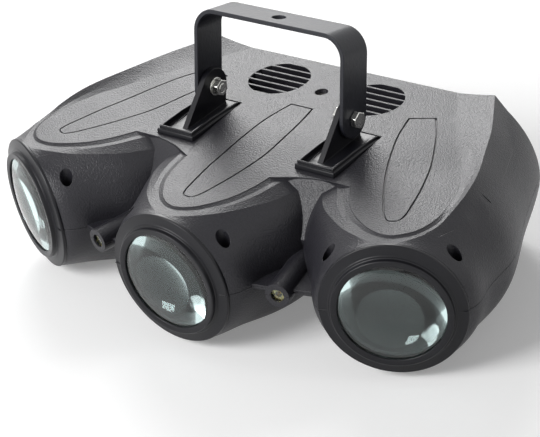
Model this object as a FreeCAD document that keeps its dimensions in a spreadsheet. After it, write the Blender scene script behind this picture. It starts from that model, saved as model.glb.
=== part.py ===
import FreeCAD, Part
import math
import os
import Sketcher

# Three-lens stage effect light on a tilting strap bracket.
# Row frame: +Z up, the lenses look along -Y, symmetric about X = 0.
# The origin is on the surface that the rubber feet stand on, at the middle of the depth.
# Most pieces are drawn in a head frame: origin at the centre of a lens ring, Y to the back, Z up.

doc = FreeCAD.newDocument("three_lens_light")
sheet = doc.addObject("Spreadsheet::Sheet", "sizes")

SIZES = (
    ("body_depth", 211.0, "lens ring plane to the rear rim"),
    ("fan_radius", 351.0, "lens ring to the point where the three head axes meet"),
    ("fan_angle", 25.0, "degrees between two neighbouring head axes"),
    ("roof_height", 47.0, "head axis to the raised roof panel"),
    ("roof_fall", 2.5, "how much lower the roof is in front"),
    ("ledge_height", 44.0, "head axis to the ledge round the front of a tongue"),
    ("ledge_drop", 2.0, "unit of the drop from the roof to the lips of a tongue"),
    ("lip_edge", 0.3, "upright edge of the roof over the hollow round a tongue"),
    ("cove_sag", 0.5, "how deep that hollow is"),
    ("crease_sink", 0.05, "where the hollow of the crest leaves the roof"),
    ("flare_height", 51.6, "head axis to the raised outer roof edge at the rear"),
    ("belly_depth", 46.0, "head axis to the underside"),
    ("wall", 2.6, "moulded wall of the housing"),
    ("rear_wall", 4.8, "rear wall of the housing, which frames the rear panel"),
    ("lobe_half_width", 70.7, "widest half width of a lobe at the parting plane"),
    ("lobe_crown", 61.6, "tallest half height of a lobe before the roof cuts it"),
    ("belly_crown", 58.0, "deepest half height of a lobe before the underside cuts it"),
    ("parting_gap", 0.3, "seam between the two shells"),
    ("seat_gap", 0.3, "space between pieces that are seated on each other"),
    ("slip", 0.08, "radial running clearance"),
    ("overrun", 1.0, "how far a cutting shape runs past what it cuts"),
    ("collar_radius", 45.6, "outer rim of the lens collar"),
    ("collar_front", 5.3, "ring plane back to the collar rim"),
    ("collar_back", 7.0, "ring plane back to the collar seat on the shells"),
    ("step_radius", 38.9, "foot of the thin step in the collar"),
    ("step_depth", 3.4, "ring plane back to that step"),
    ("ring_radius", 37.4, "outer edge of the front ring"),
    ("ring_edge", 0.5, "rounded front edge of the ring"),
    ("lens_view_radius", 33.1, "clear glass that shows inside the ring"),
    ("lip_depth", 1.5, "back of the ring lip that holds the lens"),
    ("lens_radius", 34.6, "lens edge"),
    ("lens_reach", 3.6, "lens crown in front of the ring plane"),
    ("lens_bulge", 5.6, "height of the lens crown over its edge"),
    ("lens_back", 8.5, "flat back of the lens"),
    ("gasket_thick", 1.2, "rubber ring behind the lens"),
    ("gasket_band", 2.3, "radial width of the rubber ring"),
    ("spigot_radius", 41.4, "part of the collar inside the shells"),
    ("spigot_back", 12.4, "back end of that part"),
    ("spigot_gap", 0.25, "space round it"),
    ("front_wall", 3.0, "shell wall behind the collar"),
    ("tube_flange", 1.5, "front flange of the black inner tube"),
    ("tube_front_radius", 31.2, "front of the inner tube"),
    ("tube_rear_radius", 19.5, "rear of the inner tube"),
    ("tube_rear", 57.0, "rear end of the inner tube"),
    ("tube_wall", 1.5, "wall of the inner tube"),
    ("wheel_front", 60.5, "front face of the pattern wheel"),
    ("wheel_thick", 2.0, "pattern wheel"),
    ("wheel_radius", 31.0, "pattern wheel"),
    ("wheel_offset", 24.0, "wheel centre beside the head axis"),
    ("pattern_radius", 7.2, "one opening in the pattern wheel"),
    ("pattern_count", 7.0, "openings in the pattern wheel"),
    ("hub_radius", 5.0, "hub of the pattern wheel"),
    ("hub_length", 2.4, "hub behind the wheel"),
    ("shaft_radius", 1.5, "motor shaft"),
    ("shaft_length", 13.0, "motor shaft behind the wheel"),
    ("frame_front", 66.0, "front face of the optics frame plate"),
    ("sheet_thick", 2.0, "steel and aluminium sheet"),
    ("frame_left", 33.0, "optics frame left of the head axis"),
    ("frame_right", 36.0, "optics frame right of the head axis"),
    ("frame_top", 33.0, "optics frame over the head axis"),
    ("frame_foot", 20.0, "foot of the optics frame"),
    ("aperture_radius", 9.5, "light opening of the optics frame"),
    ("condenser_radius", 10.4, "small lens behind the wheel"),
    ("condenser_thick", 7.0, "small lens"),
    ("condenser_bulge", 3.5, "crown of the small lens"),
    ("holder_wall", 1.8, "holder round the small lens"),
    ("holder_length", 12.0, "that holder behind the plate"),
    ("motor_radius", 10.5, "wheel motor"),
    ("motor_length", 15.0, "wheel motor"),
    ("motor_ear", 3.0, "screw ears of the motor"),
    ("pillar_radius", 2.5, "pillars from the frame to the heat sink"),
    ("pillar_spread", 24.0, "pillar centres beside the head axis"),
    ("board_front", 86.4, "front face of the light board"),
    ("board_thick", 1.6, "circuit boards"),
    ("board_half", 20.0, "half the side of the light board"),
    ("emitter_half", 5.0, "half the side of the emitter"),
    ("emitter_thick", 1.2, "emitter on its board"),
    ("sink_half", 28.0, "half the side of the heat sink"),
    ("sink_base", 3.0, "heat sink base"),
    ("fin_length", 20.0, "heat sink fins"),
    ("fin_thick", 1.6, "heat sink fins"),
    ("fin_count", 9.0, "heat sink fins"),
    ("laser_front", 10.8, "front end of the aperture tubes behind the ring arc"),
    ("laser_tube_radius", 8.2, "aperture tube between two heads"),
    ("laser_tube_back", 62.0, "rear end of the aperture tube"),
    ("laser_hole_radius", 4.4, "front opening of the aperture tube"),
    ("laser_lip", 1.6, "front lip of the aperture tube"),
    ("laser_radius", 6.0, "small light module in the aperture tube"),
    ("laser_length", 36.0, "that module"),
    ("window_thick", 1.2, "clear disc in front of the module"),
    ("window_radius", 5.9, "clear disc in front of the module"),
    ("shelf_front", 17.3, "flange between two heads behind the ring arc"),
    ("shelf_half", 27.0, "half width of that flange"),
    ("shelf_thick", 1.5, "half thickness of that flange"),
    ("chute_foot", 53.3, "foot of the sloping facet between two lobes behind the ring arc"),
    ("chute_foot_height", 14.0, "height of that foot over the parting plane"),
    ("chute_head", 77.4, "head of the sloping facet"),
    ("chute_half", 29.0, "half width of the web between two lobes"),
    ("web_back", 150.0, "rear end of that web"),
    ("bridge_front", 77.2, "front edge of the roof between two lobes behind the ring arc"),
    ("tongue_half", 34.4, "half width of the roof on a lobe"),
    ("tongue_length", 78.0, "ring plane back to where the roof joins its neighbours"),
    ("tongue_lead", 2.6, "how much further forward the tongue of an outer lobe starts"),
    ("tongue_shift", 1.5, "how much further out the tip of that tongue is"),
    ("leaf_tip", 32.6, "front of the leaf groove behind the ring plane"),
    ("leaf_length", 121.4, "leaf groove"),
    ("leaf_half", 13.75, "half width of the leaf groove"),
    ("groove_width", 1.1, "leaf groove"),
    ("groove_depth", 0.9, "leaf groove"),
    ("vent_x", 38.6, "centre line to a vent centre"),
    ("vent_y", 180.5, "ring plane back to the vent centres"),
    ("vent_radius", 21.5, "round vent"),
    ("slot_width", 5.6, "vent slot"),
    ("slot_pitch", 7.1, "vent slots"),
    ("slot_count", 6.0, "vent slots"),
    ("mic_y", 176.0, "ring plane back to the microphone hole"),
    ("mic_radius", 4.5, "microphone hole"),
    ("mic_length", 7.0, "microphone"),
    ("column_x", 37.7, "shell screw beside the head axis"),
    ("column_y", 18.2, "shell screw behind the ring plane"),
    ("column_radius", 5.0, "screw column"),
    ("sink_hole_radius", 4.2, "counterbore of a shell screw"),
    ("sink_hole_floor", 14.0, "floor of the counterbore over the parting plane"),
    ("screw_radius", 1.5, "shell screws"),
    ("screw_head_radius", 3.2, "shell screws"),
    ("screw_head", 2.2, "shell screws"),
    ("screw_length", 24.0, "shell screws under the head"),
    ("window_half", 92.0, "half width of the opening in the rear wall"),
    ("window_rise", 31.0, "half height of the opening in the rear wall"),
    ("panel_margin", 5.0, "rear panel past the opening"),
    ("foot_height", 5.0, "rubber foot"),
    ("foot_radius", 8.0, "rubber foot"),
    ("foot_tip_radius", 6.6, "rubber foot where it stands"),
    ("foot_front", 60.0, "front rubber feet behind their ring planes"),
    ("foot_x", 92.0, "rear rubber feet from the centre line"),
    ("foot_back", 190.0, "rear rubber feet behind the ring plane"),
    ("post_x", 62.0, "chassis posts from the centre line"),
    ("shoe_x", 56.8, "centre line to the middle of a bracket shoe"),
    ("shoe_front", 89.5, "ring plane back to the front of a shoe"),
    ("shoe_length", 52.5, "bracket shoe"),
    ("shoe_half", 15.2, "half width of a bracket shoe"),
    ("shoe_top", 49.8, "head axis to the front rim of a shoe"),
    ("shoe_tail", 47.6, "head axis to the rear rim of a shoe"),
    ("shoe_floor", 46.4, "head axis to the sunk floor of a shoe"),
    ("rim_width", 1.6, "rim of a shoe"),
    ("rim_step", 1.5, "lower step outside the rim"),
    ("rim_drop", 2.0, "lower step under the rim"),
    ("pivot_y", 131.7, "ring plane back to the tilt bolts"),
    ("pivot_height", 62.2, "head axis to the tilt bolts"),
    ("ear_inner", 53.2, "centre line to the inner face of an ear"),
    ("ear_thick", 4.0, "ear of a bracket shoe"),
    ("ear_radius", 12.2, "round top of an ear"),
    ("ear_front", 97.0, "ring plane back to the front foot of an ear"),
    ("ear_back", 137.5, "ring plane back to the rear foot of an ear"),
    ("leg_gap", 0.3, "space between an ear and the bracket"),
    ("strap_thick", 3.0, "steel strap of the bracket"),
    ("strap_width", 25.4, "steel strap of the bracket"),
    ("strap_rise", 56.2, "tilt bolts to the top of the bracket"),
    ("strap_bend", 16.0, "outer radius of the bracket's bends"),
    ("strap_lean", 12.5, "degrees that the bracket leans back at rest"),
    ("hang_radius", 4.5, "hole for a hanging clamp"),
    ("bolt_radius", 3.0, "tilt bolts"),
    ("bolt_head_radius", 5.77, "hexagon of the tilt bolts, to a corner"),
    ("bolt_head", 4.0, "head of the tilt bolts"),
    ("nut_thick", 5.0, "nuts of the tilt bolts"),
    ("washer_radius", 6.2, "washers of the tilt bolts"),
    ("washer_thick", 1.2, "washers of the tilt bolts"),
    ("fan_half", 20.0, "half the side of a cooling fan"),
    ("fan_thick", 10.0, "cooling fan"),
    ("fan_bore", 18.8, "air opening of the fan"),
    ("fan_hub_radius", 8.0, "rotor hub"),
    ("fan_hub_thick", 7.0, "rotor hub"),
    ("fan_tip_radius", 18.2, "blade tips"),
    ("blade_thick", 0.9, "blades"),
    ("blade_rise", 5.0, "blades"),
    ("blade_pitch", 38.0, "degrees that a blade is turned"),
    ("blade_count", 7.0, "blades"),
    ("spoke_width", 2.4, "spokes of the fan frame"),
    ("spoke_thick", 1.6, "spokes of the fan frame"),
    ("pin_radius", 1.2, "fan bearing pin"),
    ("chassis_height", 40.4, "head axis down to the top of the chassis plate"),
    ("chassis_arm_front", 64.0, "front end of a chassis arm"),
    ("chassis_arm_back", 128.0, "rear end of a chassis arm"),
    ("chassis_half", 88.0, "half width of the rear of the chassis"),
    ("chassis_back", 196.0, "rear end of the chassis"),
    ("post_radius", 4.0, "posts under the chassis and the boards"),
    ("post_height", 5.0, "posts under the power board"),
    ("power_x", 82.0, "outer edge of the power board from the centre line"),
    ("power_front", 134.0, "front edge of the power board"),
    ("power_width", 94.0, "power board"),
    ("power_length", 44.0, "power board"),
    ("coil_width", 24.0, "transformer on the power board"),
    ("coil_height", 20.0, "transformer on the power board"),
    ("can_radius", 6.0, "capacitors on the power board"),
    ("can_height", 18.0, "capacitors on the power board"),
    ("socket_y", 2.0, "flange of a rear socket"),
    ("display_x", 58.0, "display centre left of the centre line"),
    ("display_z", 12.0, "display centre over the head axis"),
    ("display_half", 17.0, "half width of the display window"),
    ("display_rise", 7.0, "half height of the display window"),
    ("display_thick", 1.6, "clear display window"),
    ("digits_half", 15.0, "half width of the digit block"),
    ("digits_rise", 5.5, "half height of the digit block"),
    ("digits_thick", 6.0, "digit block"),
    ("control_half", 25.0, "half width of the control board"),
    ("control_rise", 26.0, "half height of the control board"),
    ("control_gap", 9.5, "control board in front of the rear panel"),
    ("button_radius", 3.4, "menu buttons"),
    ("button_pitch", 12.0, "menu buttons"),
    ("button_z", 10.0, "button row under the head axis"),
    ("button_proud", 1.8, "menu buttons behind the rear panel"),
    ("button_travel", 0.8, "menu buttons"),
    ("button_flange", 4.4, "flange of a menu button"),
    ("button_flange_thick", 1.2, "flange of a menu button"),
    ("switch_half", 3.0, "half side of a key switch"),
    ("inlet_x", 58.0, "mains inlet centre right of the centre line"),
    ("inlet_half", 15.0, "half width of the inlet body"),
    ("inlet_rise", 11.0, "half height of the inlet body"),
    ("inlet_z", 9.0, "inlet centre under the head axis"),
    ("inlet_depth", 24.0, "inlet body inside the rear panel"),
    ("inlet_flange", 4.0, "inlet flange past the body"),
    ("inlet_room_half", 12.2, "half width of the plug recess"),
    ("inlet_room_rise", 8.2, "half height of the plug recess"),
    ("inlet_room_depth", 15.5, "plug recess"),
    ("blade_width", 4.0, "contact blades"),
    ("contact_thick", 2.0, "contact blades"),
    ("contact_length", 13.0, "contact blades"),
    ("contact_pitch", 7.0, "contact blades beside the middle"),
    ("drawer_half", 10.0, "half width of the fuse drawer"),
    ("drawer_rise", 4.0, "half height of the fuse drawer"),
    ("drawer_z", 12.5, "fuse drawer over the head axis"),
    ("drawer_depth", 18.0, "fuse drawer"),
    ("drawer_travel", 12.0, "fuse drawer"),
    ("drawer_shell", 2.0, "housing round the fuse drawer"),
    ("data_x", 15.0, "data sockets beside the centre line"),
    ("data_half", 13.0, "half width of a data socket flange"),
    ("data_rise", 15.5, "half height of a data socket flange"),
    ("data_radius", 11.5, "data socket body"),
    ("data_depth", 20.0, "data socket body"),
    ("data_room", 9.6, "round recess of a data socket"),
    ("data_room_depth", 13.0, "round recess of a data socket"),
    ("data_pin_radius", 1.2, "contact pins"),
    ("data_pin_ring", 4.7, "contact pins about the socket axis"),
    ("data_core", 7.6, "core of the outgoing data socket"),
    ("latch_half", 3.2, "half width of the release tab"),
    ("latch_rise", 2.0, "half height of the release tab"),
    ("latch_z", 12.4, "release tab over the socket axis"),
    ("latch_proud", 1.6, "release tab behind the flange"),
    ("latch_depth", 5.0, "release tab inside the flange"),
    ("latch_travel", 1.0, "release tab"),
)


class Size:
    """A size from the sheet, or a sum or share of such sizes: its value and the sheet's words for it."""

    def __init__(self, value, text):
        self.value = float(value)
        self.text = text

    def __float__(self):
        return self.value

    def __add__(self, other):
        other = as_size(other)
        return Size(self.value + other.value, "(%s + %s)" % (self.text, other.text))

    def __sub__(self, other):
        other = as_size(other)
        return Size(self.value - other.value, "(%s - %s)" % (self.text, other.text))

    def __mul__(self, other):
        other = as_size(other)
        return Size(self.value * other.value, "(%s * %s)" % (self.text, other.text))

    def __truediv__(self, other):
        other = as_size(other)
        return Size(self.value / other.value, "(%s / %s)" % (self.text, other.text))

    def __neg__(self):
        return Size(-self.value, "(0 - %s)" % self.text)

    def __radd__(self, other):
        return as_size(other) + self

    def __rsub__(self, other):
        return as_size(other) - self

    def __rmul__(self, other):
        return as_size(other) * self


def as_size(number):
    if isinstance(number, Size):
        return number
    return Size(number, repr(float(number)))


def sine(angle):
    return Size(math.sin(math.radians(angle.value)), "sin(%s)" % angle.text)


def cosine(angle):
    return Size(math.cos(math.radians(angle.value)), "cos(%s)" % angle.text)


class Sizes:
    """Every named size of the sheet as an attribute."""


S = Sizes()
for row, (name, number, meaning) in enumerate(SIZES, start=1):
    sheet.set("A%d" % row, str(number))
    sheet.setAlias("A%d" % row, name)
    sheet.set("B%d" % row, meaning)
doc.recompute()
for name, number, meaning in SIZES:
    setattr(S, name, Size(sheet.get(name), "sizes." + name))

ZERO = Size(0.0, "0.0")
AXIS_Z = S.belly_depth + S.foot_height
RING_Y = (S.lens_reach - S.body_depth) / 2
X_WAY = FreeCAD.Vector(1, 0, 0)
Y_WAY = FreeCAD.Vector(0, 1, 0)
Z_WAY = FreeCAD.Vector(0, 0, 1)
TURNS = {"X": (Y_WAY, 90.0), "Y": (X_WAY, -90.0), "Z": (Z_WAY, 0.0)}
PIECES = []


def number_of(size):
    return int(round(float(size)))


def bind(thing, prop, size):
    """Set one property, and tie it to the sheet where it comes from there."""
    size = as_size(size)
    if not prop.startswith("Placement"):
        setattr(thing, prop, size.value)
    if "sizes." in size.text:
        thing.setExpression(prop, size.text)


def place(thing, x=ZERO, y=ZERO, z=ZERO, way=Z_WAY, turn=ZERO):
    """Put an object at x, y, z, turned about one direction, with each value tied to the sheet."""
    spot = [as_size(value) for value in (x, y, z)]
    turn = as_size(turn)
    base = FreeCAD.Vector(*[value.value for value in spot])
    thing.Placement = FreeCAD.Placement(base, FreeCAD.Rotation(way, turn.value))
    for letter, value in zip("xyz", spot):
        bind(thing, "Placement.Base." + letter, value)
    if turn.value:
        bind(thing, "Placement.Rotation.Angle", turn)
    return thing


def box(x, y, z, wide, deep, high):
    """A block from its low corner."""
    block = doc.addObject("Part::Box", "block")
    bind(block, "Length", wide)
    bind(block, "Width", deep)
    bind(block, "Height", high)
    return place(block, x, y, z)


def middle_box(x, y, z, wide, deep, high):
    """A block centred in X and Z, from its low Y."""
    return box(x - wide / 2, y, z - high / 2, wide, deep, high)


def rod(x, y, z, way, radius, length, sides=0):
    """A cylinder or a hexagonal prism from the middle of one end, along X, Y or Z."""
    kind = "Part::Prism" if sides else "Part::Cylinder"
    stick = doc.addObject(kind, "stick")
    if sides:
        stick.Polygon = sides
        bind(stick, "Circumradius", radius)
    else:
        bind(stick, "Radius", radius)
    bind(stick, "Height", length)
    axis, turn = TURNS[way]
    return place(stick, x, y, z, axis, turn)


def cone(x, y, z, way, start_radius, end_radius, length):
    horn = doc.addObject("Part::Cone", "horn")
    bind(horn, "Radius1", start_radius)
    bind(horn, "Radius2", end_radius)
    bind(horn, "Height", length)
    axis, turn = TURNS[way]
    return place(horn, x, y, z, axis, turn)


def ball(x, y, z, radius):
    globe = doc.addObject("Part::Sphere", "globe")
    bind(globe, "Radius", radius)
    return place(globe, x, y, z)


def fuse(*parts):
    joined = doc.addObject("Part::MultiFuse", "joined")
    joined.Shapes = list(parts)
    joined.Refine = True
    return joined


def cut(base, *tools):
    tool = tools[0] if len(tools) == 1 else fuse(*tools)
    rest = doc.addObject("Part::Cut", "rest")
    rest.Base = base
    rest.Tool = tool
    rest.Refine = True
    return rest


def common(first, second):
    shared = doc.addObject("Part::MultiCommon", "shared")
    shared.Shapes = [first, second]
    return shared


def swing_to(thing, turn):
    """Turn one member of a group to its own head, about the point where the head axes meet."""
    angle = S.fan_angle * turn
    if turn:
        place(thing, S.fan_radius * sine(angle), S.fan_radius * (1 - cosine(angle)), ZERO, Z_WAY, angle)
    return thing


def group(*parts):
    """Several separate solids that share one node."""
    bunch = doc.addObject("Part::Compound", "bunch")
    bunch.Links = list(parts)
    return bunch


def shaped(shape):
    holder = doc.addObject("Part::Feature", "shaped")
    holder.Shape = shape
    return holder


def piece(node, thing, turn=0.0):
    """Name a finished sub-part and set it on its head: turn is 0 at the centre, 1 right, -1 left."""
    if not thing.Placement.isIdentity():
        thing = group(thing)
    thing.Label = node
    angle = S.fan_angle * turn
    if turn:
        x = S.fan_radius * sine(angle)
        y = RING_Y + S.fan_radius * (1 - cosine(angle))
        place(thing, x, y, AXIS_Z, Z_WAY, angle)
    else:
        place(thing, ZERO, RING_Y, AXIS_Z)
    PIECES.append((node, thing))
    return thing


def plane_of(body, role):
    for feature in body.Origin.OriginFeatures:
        if feature.Role == role:
            return feature
    raise ValueError("no origin plane " + role)


def new_sketch(body, role):
    sketch = body.newObject("Sketcher::SketchObject", "outline")
    sketch.AttachmentSupport = (plane_of(body, role), [""])
    sketch.MapMode = "FlatFace"
    return sketch


def tie(sketch, kind, geometry, point, size):
    """Hold one point of the sketch at a distance from the origin."""
    size = as_size(size)
    index = sketch.addConstraint(Sketcher.Constraint(kind, -1, 1, geometry, point, size.value))
    if "sizes." in size.text:
        sketch.setExpression("Constraints[%d]" % index, size.text)


def draw_outline(sketch, points):
    """A closed outline of straight edges through the points."""
    first = sketch.GeometryCount
    corners = [FreeCAD.Vector(float(a), float(b), 0) for a, b in points]
    for index, corner in enumerate(corners):
        after = corners[(index + 1) % len(corners)]
        sketch.addGeometry(Part.LineSegment(corner, after))
    for index in range(len(corners)):
        after = first + (index + 1) % len(corners)
        sketch.addConstraint(Sketcher.Constraint("Coincident", first + index, 2, after, 1))
    for index, (a, b) in enumerate(points):
        tie(sketch, "DistanceX", first + index, 1, a)
        tie(sketch, "DistanceY", first + index, 1, b)


def draw_circle(sketch, a, b, radius):
    centre = FreeCAD.Vector(float(a), float(b), 0)
    index = sketch.addGeometry(Part.Circle(centre, Z_WAY, float(radius)))
    held = sketch.addConstraint(Sketcher.Constraint("Radius", index, float(radius)))
    sketch.setExpression("Constraints[%d]" % held, as_size(radius).text)
    tie(sketch, "DistanceX", index, 3, a)
    tie(sketch, "DistanceY", index, 3, b)


def new_body():
    return doc.addObject("PartDesign::Body", "body")


def turned_body(points):
    """A body turned about the head axis from (radius, distance back) points."""
    body = new_body()
    sketch = new_sketch(body, "XY_Plane")
    draw_outline(sketch, points)
    turned = body.newObject("PartDesign::Revolution", "turned")
    turned.Profile = sketch
    turned.ReferenceAxis = (plane_of(body, "Y_Axis"), [""])
    turned.Angle = 360.0
    body.Tip = turned
    return body


def pad(body, sketch, length, both=False, flip=False):
    slab = body.newObject("PartDesign::Pad", "slab")
    slab.Profile = sketch
    bind(slab, "Length", length)
    slab.Reversed = flip
    if both:
        slab.SideType = "Symmetric"
    body.Tip = slab
    return slab


def pocket(body, sketch, length, flip=False):
    """A pocket that has to take something away."""
    doc.recompute()
    before = body.Shape.Volume
    hole = body.newObject("PartDesign::Pocket", "hollow")
    hole.Profile = sketch
    bind(hole, "Length", length)
    hole.Reversed = flip
    body.Tip = hole
    doc.recompute()
    if not body.Shape.Volume < before:
        raise ValueError("a pocket cuts nothing")
    return hole


def round_repeat(body, feature, way, count):
    """Repeat a feature round an origin axis of its body."""
    pattern = body.newObject("PartDesign::PolarPattern", "ring_of")
    pattern.Originals = [feature]
    pattern.Axis = (plane_of(body, way), [""])
    pattern.Angle = 360.0
    pattern.Occurrences = count
    body.Tip = pattern
    return pattern


# The outer skin of the housing.
# A lobe is lofted through ellipses about its head axis: shares of the depth, width and crown.
LOBE_SHARES = (
    (0.070, 0.720, 0.750, 0.800),
    (0.133, 0.762, 0.831, 0.850),
    (0.210, 0.843, 0.917, 0.920),
    (0.284, 0.921, 0.955, 0.965),
    (0.446, 0.952, 0.990, 1.000),
    (0.680, 0.994, 1.000, 0.985),
    (0.842, 1.000, 0.995, 0.960),
    (1.230, 1.000, 0.987, 0.960),
)
# The roof from front to back: shares of the body depth and of the rise to its full height.
ROOF_SHARES = (
    (-0.30, 0.28), (0.0, 0.28), (0.10, 0.24), (0.17, 0.12), (0.24, 0.02), (0.34, 0.0), (0.44, 0.04),
    (0.493, 0.32), (0.545, 0.64), (0.595, 0.86), (0.65, 0.97), (0.75, 1.0), (1.0, 1.0), (1.4, 1.0),
)
# The three lips round a tongue, from its side to its tip. Across and along of the roof edge, then of the
# middle lip and of the outer lip with their drop under the roof: shares of the tongue's half width, of
# its length and of the ledge drop.
TONGUE_SHARES = (
    (0.980, 1.026, 1.233, 1.071, 0.950, 1.512, 1.100, 3.300),
    (0.974, 0.953, 1.227, 1.000, 0.950, 1.500, 1.010, 3.150),
    (0.956, 0.872, 1.180, 0.872, 0.800, 1.436, 0.859, 2.650),
    (0.916, 0.769, 1.131, 0.750, 0.750, 1.366, 0.763, 2.250),
    (0.849, 0.654, 1.044, 0.628, 0.700, 1.262, 0.638, 1.850),
    (0.767, 0.558, 0.936, 0.519, 0.650, 1.134, 0.515, 1.500),
    (0.674, 0.482, 0.814, 0.431, 0.550, 0.983, 0.405, 1.150),
    (0.552, 0.405, 0.669, 0.359, 0.450, 0.799, 0.313, 0.750),
    (0.422, 0.337, 0.517, 0.291, 0.350, 0.605, 0.235, 0.400),
    (0.291, 0.290, 0.349, 0.242, 0.250, 0.407, 0.187, 0.150),
    (0.145, 0.258, 0.174, 0.208, 0.200, 0.209, 0.149, -0.100),
    (0.0, 0.246, 0.0, 0.197, 0.200, 0.0, 0.136, -0.200),
)
# The same round the outer side of an outer lobe, where the middle lip climbs to a crest.
OUTER_SHARES = (
    (0.189, 0.223, 0.233, 0.172, 0.200, 0.276, 0.121, -0.150),
    (0.360, 0.251, 0.422, 0.208, 0.250, 0.494, 0.164, 0.150),
    (0.512, 0.300, 0.596, 0.264, 0.300, 0.698, 0.236, 0.650),
    (0.657, 0.379, 0.762, 0.338, 0.350, 0.887, 0.331, 1.750),
    (0.791, 0.492, 0.907, 0.462, 0.050, 1.076, 0.459, 2.050),
    (0.901, 0.641, 1.064, 0.622, -0.800, 1.285, 0.628, 2.600),
    (0.971, 0.776, 1.169, 0.750, -1.300, 1.413, 0.782, 2.900),
    (0.997, 0.923, 1.256, 0.904, -1.750, 1.494, 0.942, 3.700),
)
# That crest further back, with the crease inside it and the foot outside it.
CREST_SHARES = (
    (0.994, 1.077, 1.314, 1.077, -1.950, 1.570, 1.115, 4.550),
    (0.927, 1.282, 1.340, 1.282, -2.200, 1.640, 1.308, 5.450),
    (0.814, 1.538, 1.366, 1.538, -2.500, 1.686, 1.564, 5.800),
    (0.709, 1.774, 1.369, 1.769, -2.850, 1.724, 1.782, 6.050),
    (0.631, 2.026, 1.334, 2.013, -3.150, 1.756, 2.026, 6.600),
    (0.555, 2.333, 1.282, 2.308, -3.450, 1.773, 2.333, 6.900),
    (0.465, 2.641, 1.224, 2.641, -3.550, 1.779, 2.641, 7.100),
)
# How far the lip cut sinks under the crest piece at its last rows, and the crest piece at its first rows.
SINK_SHARES = (0.10, 0.18, 0.25)
PAST_SHARE = 0.33
START_SHARES = (0.30, 0.12)
# The front edge of the roof between two lobes, from its middle: shares of the web's half width and of
# the bridge front.
BRIDGE_SHARES = ((0.0, 1.0), (0.28, 0.997), (0.42, 0.990), (0.69, 0.966), (0.94, 0.944), (1.24, 0.925))
# Half of a leaf groove: shares of its half width and of its length.
LEAF_SHARES = (
    (0.24, 0.006), (0.345, 0.022), (0.45, 0.052), (0.575, 0.117), (0.705, 0.199), (0.836, 0.300),
    (0.916, 0.395), (0.982, 0.489), (1.0, 0.588), (0.967, 0.683), (0.902, 0.811), (0.764, 0.918),
    (0.629, 1.0),
)


def ellipse_wire(distance, half_width, crown, upper):
    """Half an ellipse over or under the parting plane, closed along it."""
    middle = FreeCAD.Vector(0, distance, 0)
    side = FreeCAD.Vector(half_width, distance, 0)
    top = FreeCAD.Vector(0, distance, crown if upper else -crown)
    far = FreeCAD.Vector(-half_width, distance, 0)
    if half_width >= crown:
        curve = Part.Ellipse(side, top, middle)
    else:
        curve = Part.Ellipse(top, side, middle)
    start = curve.parameter(side)
    end = curve.parameter(far)
    halfway = curve.parameter(top)
    while halfway < start:
        halfway += 2 * math.pi
    while end < start:
        end += 2 * math.pi
    if halfway < end:
        arc = Part.Arc(curve, start, end).toShape()
    else:
        arc = Part.Arc(curve, end, start + 2 * math.pi).toShape()
    closing = Part.LineSegment(far, side).toShape()
    return Part.Wire(Part.__sortEdges__([arc, closing]))


def lobe(upper, inset):
    """One lobe, upper or lower half, drawn smaller all round by the inset."""
    crown_size = S.lobe_crown.value if upper else S.belly_crown.value
    front = S.collar_back.value + (S.front_wall.value if inset else 0.0)
    radius = S.collar_radius.value - inset
    wires = [ellipse_wire(front, radius, radius, upper)]
    for depth_share, width_share, crown_share, belly_share in LOBE_SHARES:
        share = crown_share if upper else belly_share
        distance = depth_share * S.body_depth.value
        width = width_share * S.lobe_half_width.value - inset
        crown = share * crown_size - inset
        wires.append(ellipse_wire(distance, width, crown, upper))
    return Part.makeLoft(wires, True, False)


def fanned(shape, turn):
    """Swing a shape of the centre head about the point where the head axes meet."""
    copy = shape.copy()
    pivot = FreeCAD.Vector(0, S.fan_radius.value, 0)
    copy.rotate(pivot, Z_WAY, turn * S.fan_angle.value)
    return copy


def block_shape(x, y, z, wide, deep, high):
    return Part.makeBox(wide, deep, high, FreeCAD.Vector(x, y, z))


def prism_shape(points, way):
    """Push a closed polygon along a vector."""
    wire = Part.makePolygon(points + [points[0]])
    return Part.Face(wire).extrude(way)


def web(upper, inset):
    """The web between two lobes with its sloping facet, on the line between two heads."""
    high = S.ledge_height.value if upper else S.belly_depth.value
    sign = 1 if upper else -1
    half = S.chute_half.value
    profile = (
        (S.chute_foot.value + inset, 0.0),
        (S.chute_foot.value + inset, S.chute_foot_height.value),
        (S.chute_head.value + inset, high),
        (S.web_back.value, high),
        (S.web_back.value, 0.0),
    )
    points = [FreeCAD.Vector(-half, y, sign * z) for y, z in profile]
    return prism_shape(points, FreeCAD.Vector(2 * half, 0, 0))


def shelf(upper):
    """The flat flange between two heads, at the parting plane."""
    low = 0.0 if upper else -S.shelf_thick.value
    half = S.shelf_half.value
    deep = S.chute_foot.value + S.front_wall.value - S.shelf_front.value
    return block_shape(-half, S.shelf_front.value, low, 2 * half, deep, S.shelf_thick.value)


def half_rod(upper, start, end, radius):
    """Half of a cylinder along the line between two heads."""
    spot = FreeCAD.Vector(0, start, 0)
    whole = Part.makeCylinder(radius, end - start, spot, Y_WAY)
    side = 2 * radius
    low = 0.0 if upper else -side
    return whole.common(block_shape(-side, start, low, 2 * side, end - start, side))


def trimmed(bulk, upper, inset, flat):
    """What lies between the parting plane, the flat and the rear rim."""
    reach = 3 * S.fan_radius.value
    top = flat - inset
    low = 0.0 if upper else -top
    back = S.body_depth.value - (S.rear_wall.value if inset else 0.0)
    return bulk.common(block_shape(-reach / 2, -reach + back, low, reach, reach, top))


def lobes(upper, inset):
    """The three lobes as one closed volume, drawn smaller by the inset."""
    whole = lobe(upper, inset)
    return trimmed(whole.fuse([fanned(whole, -1), fanned(whole, 1)]), upper, inset, S.flare_height.value)


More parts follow.
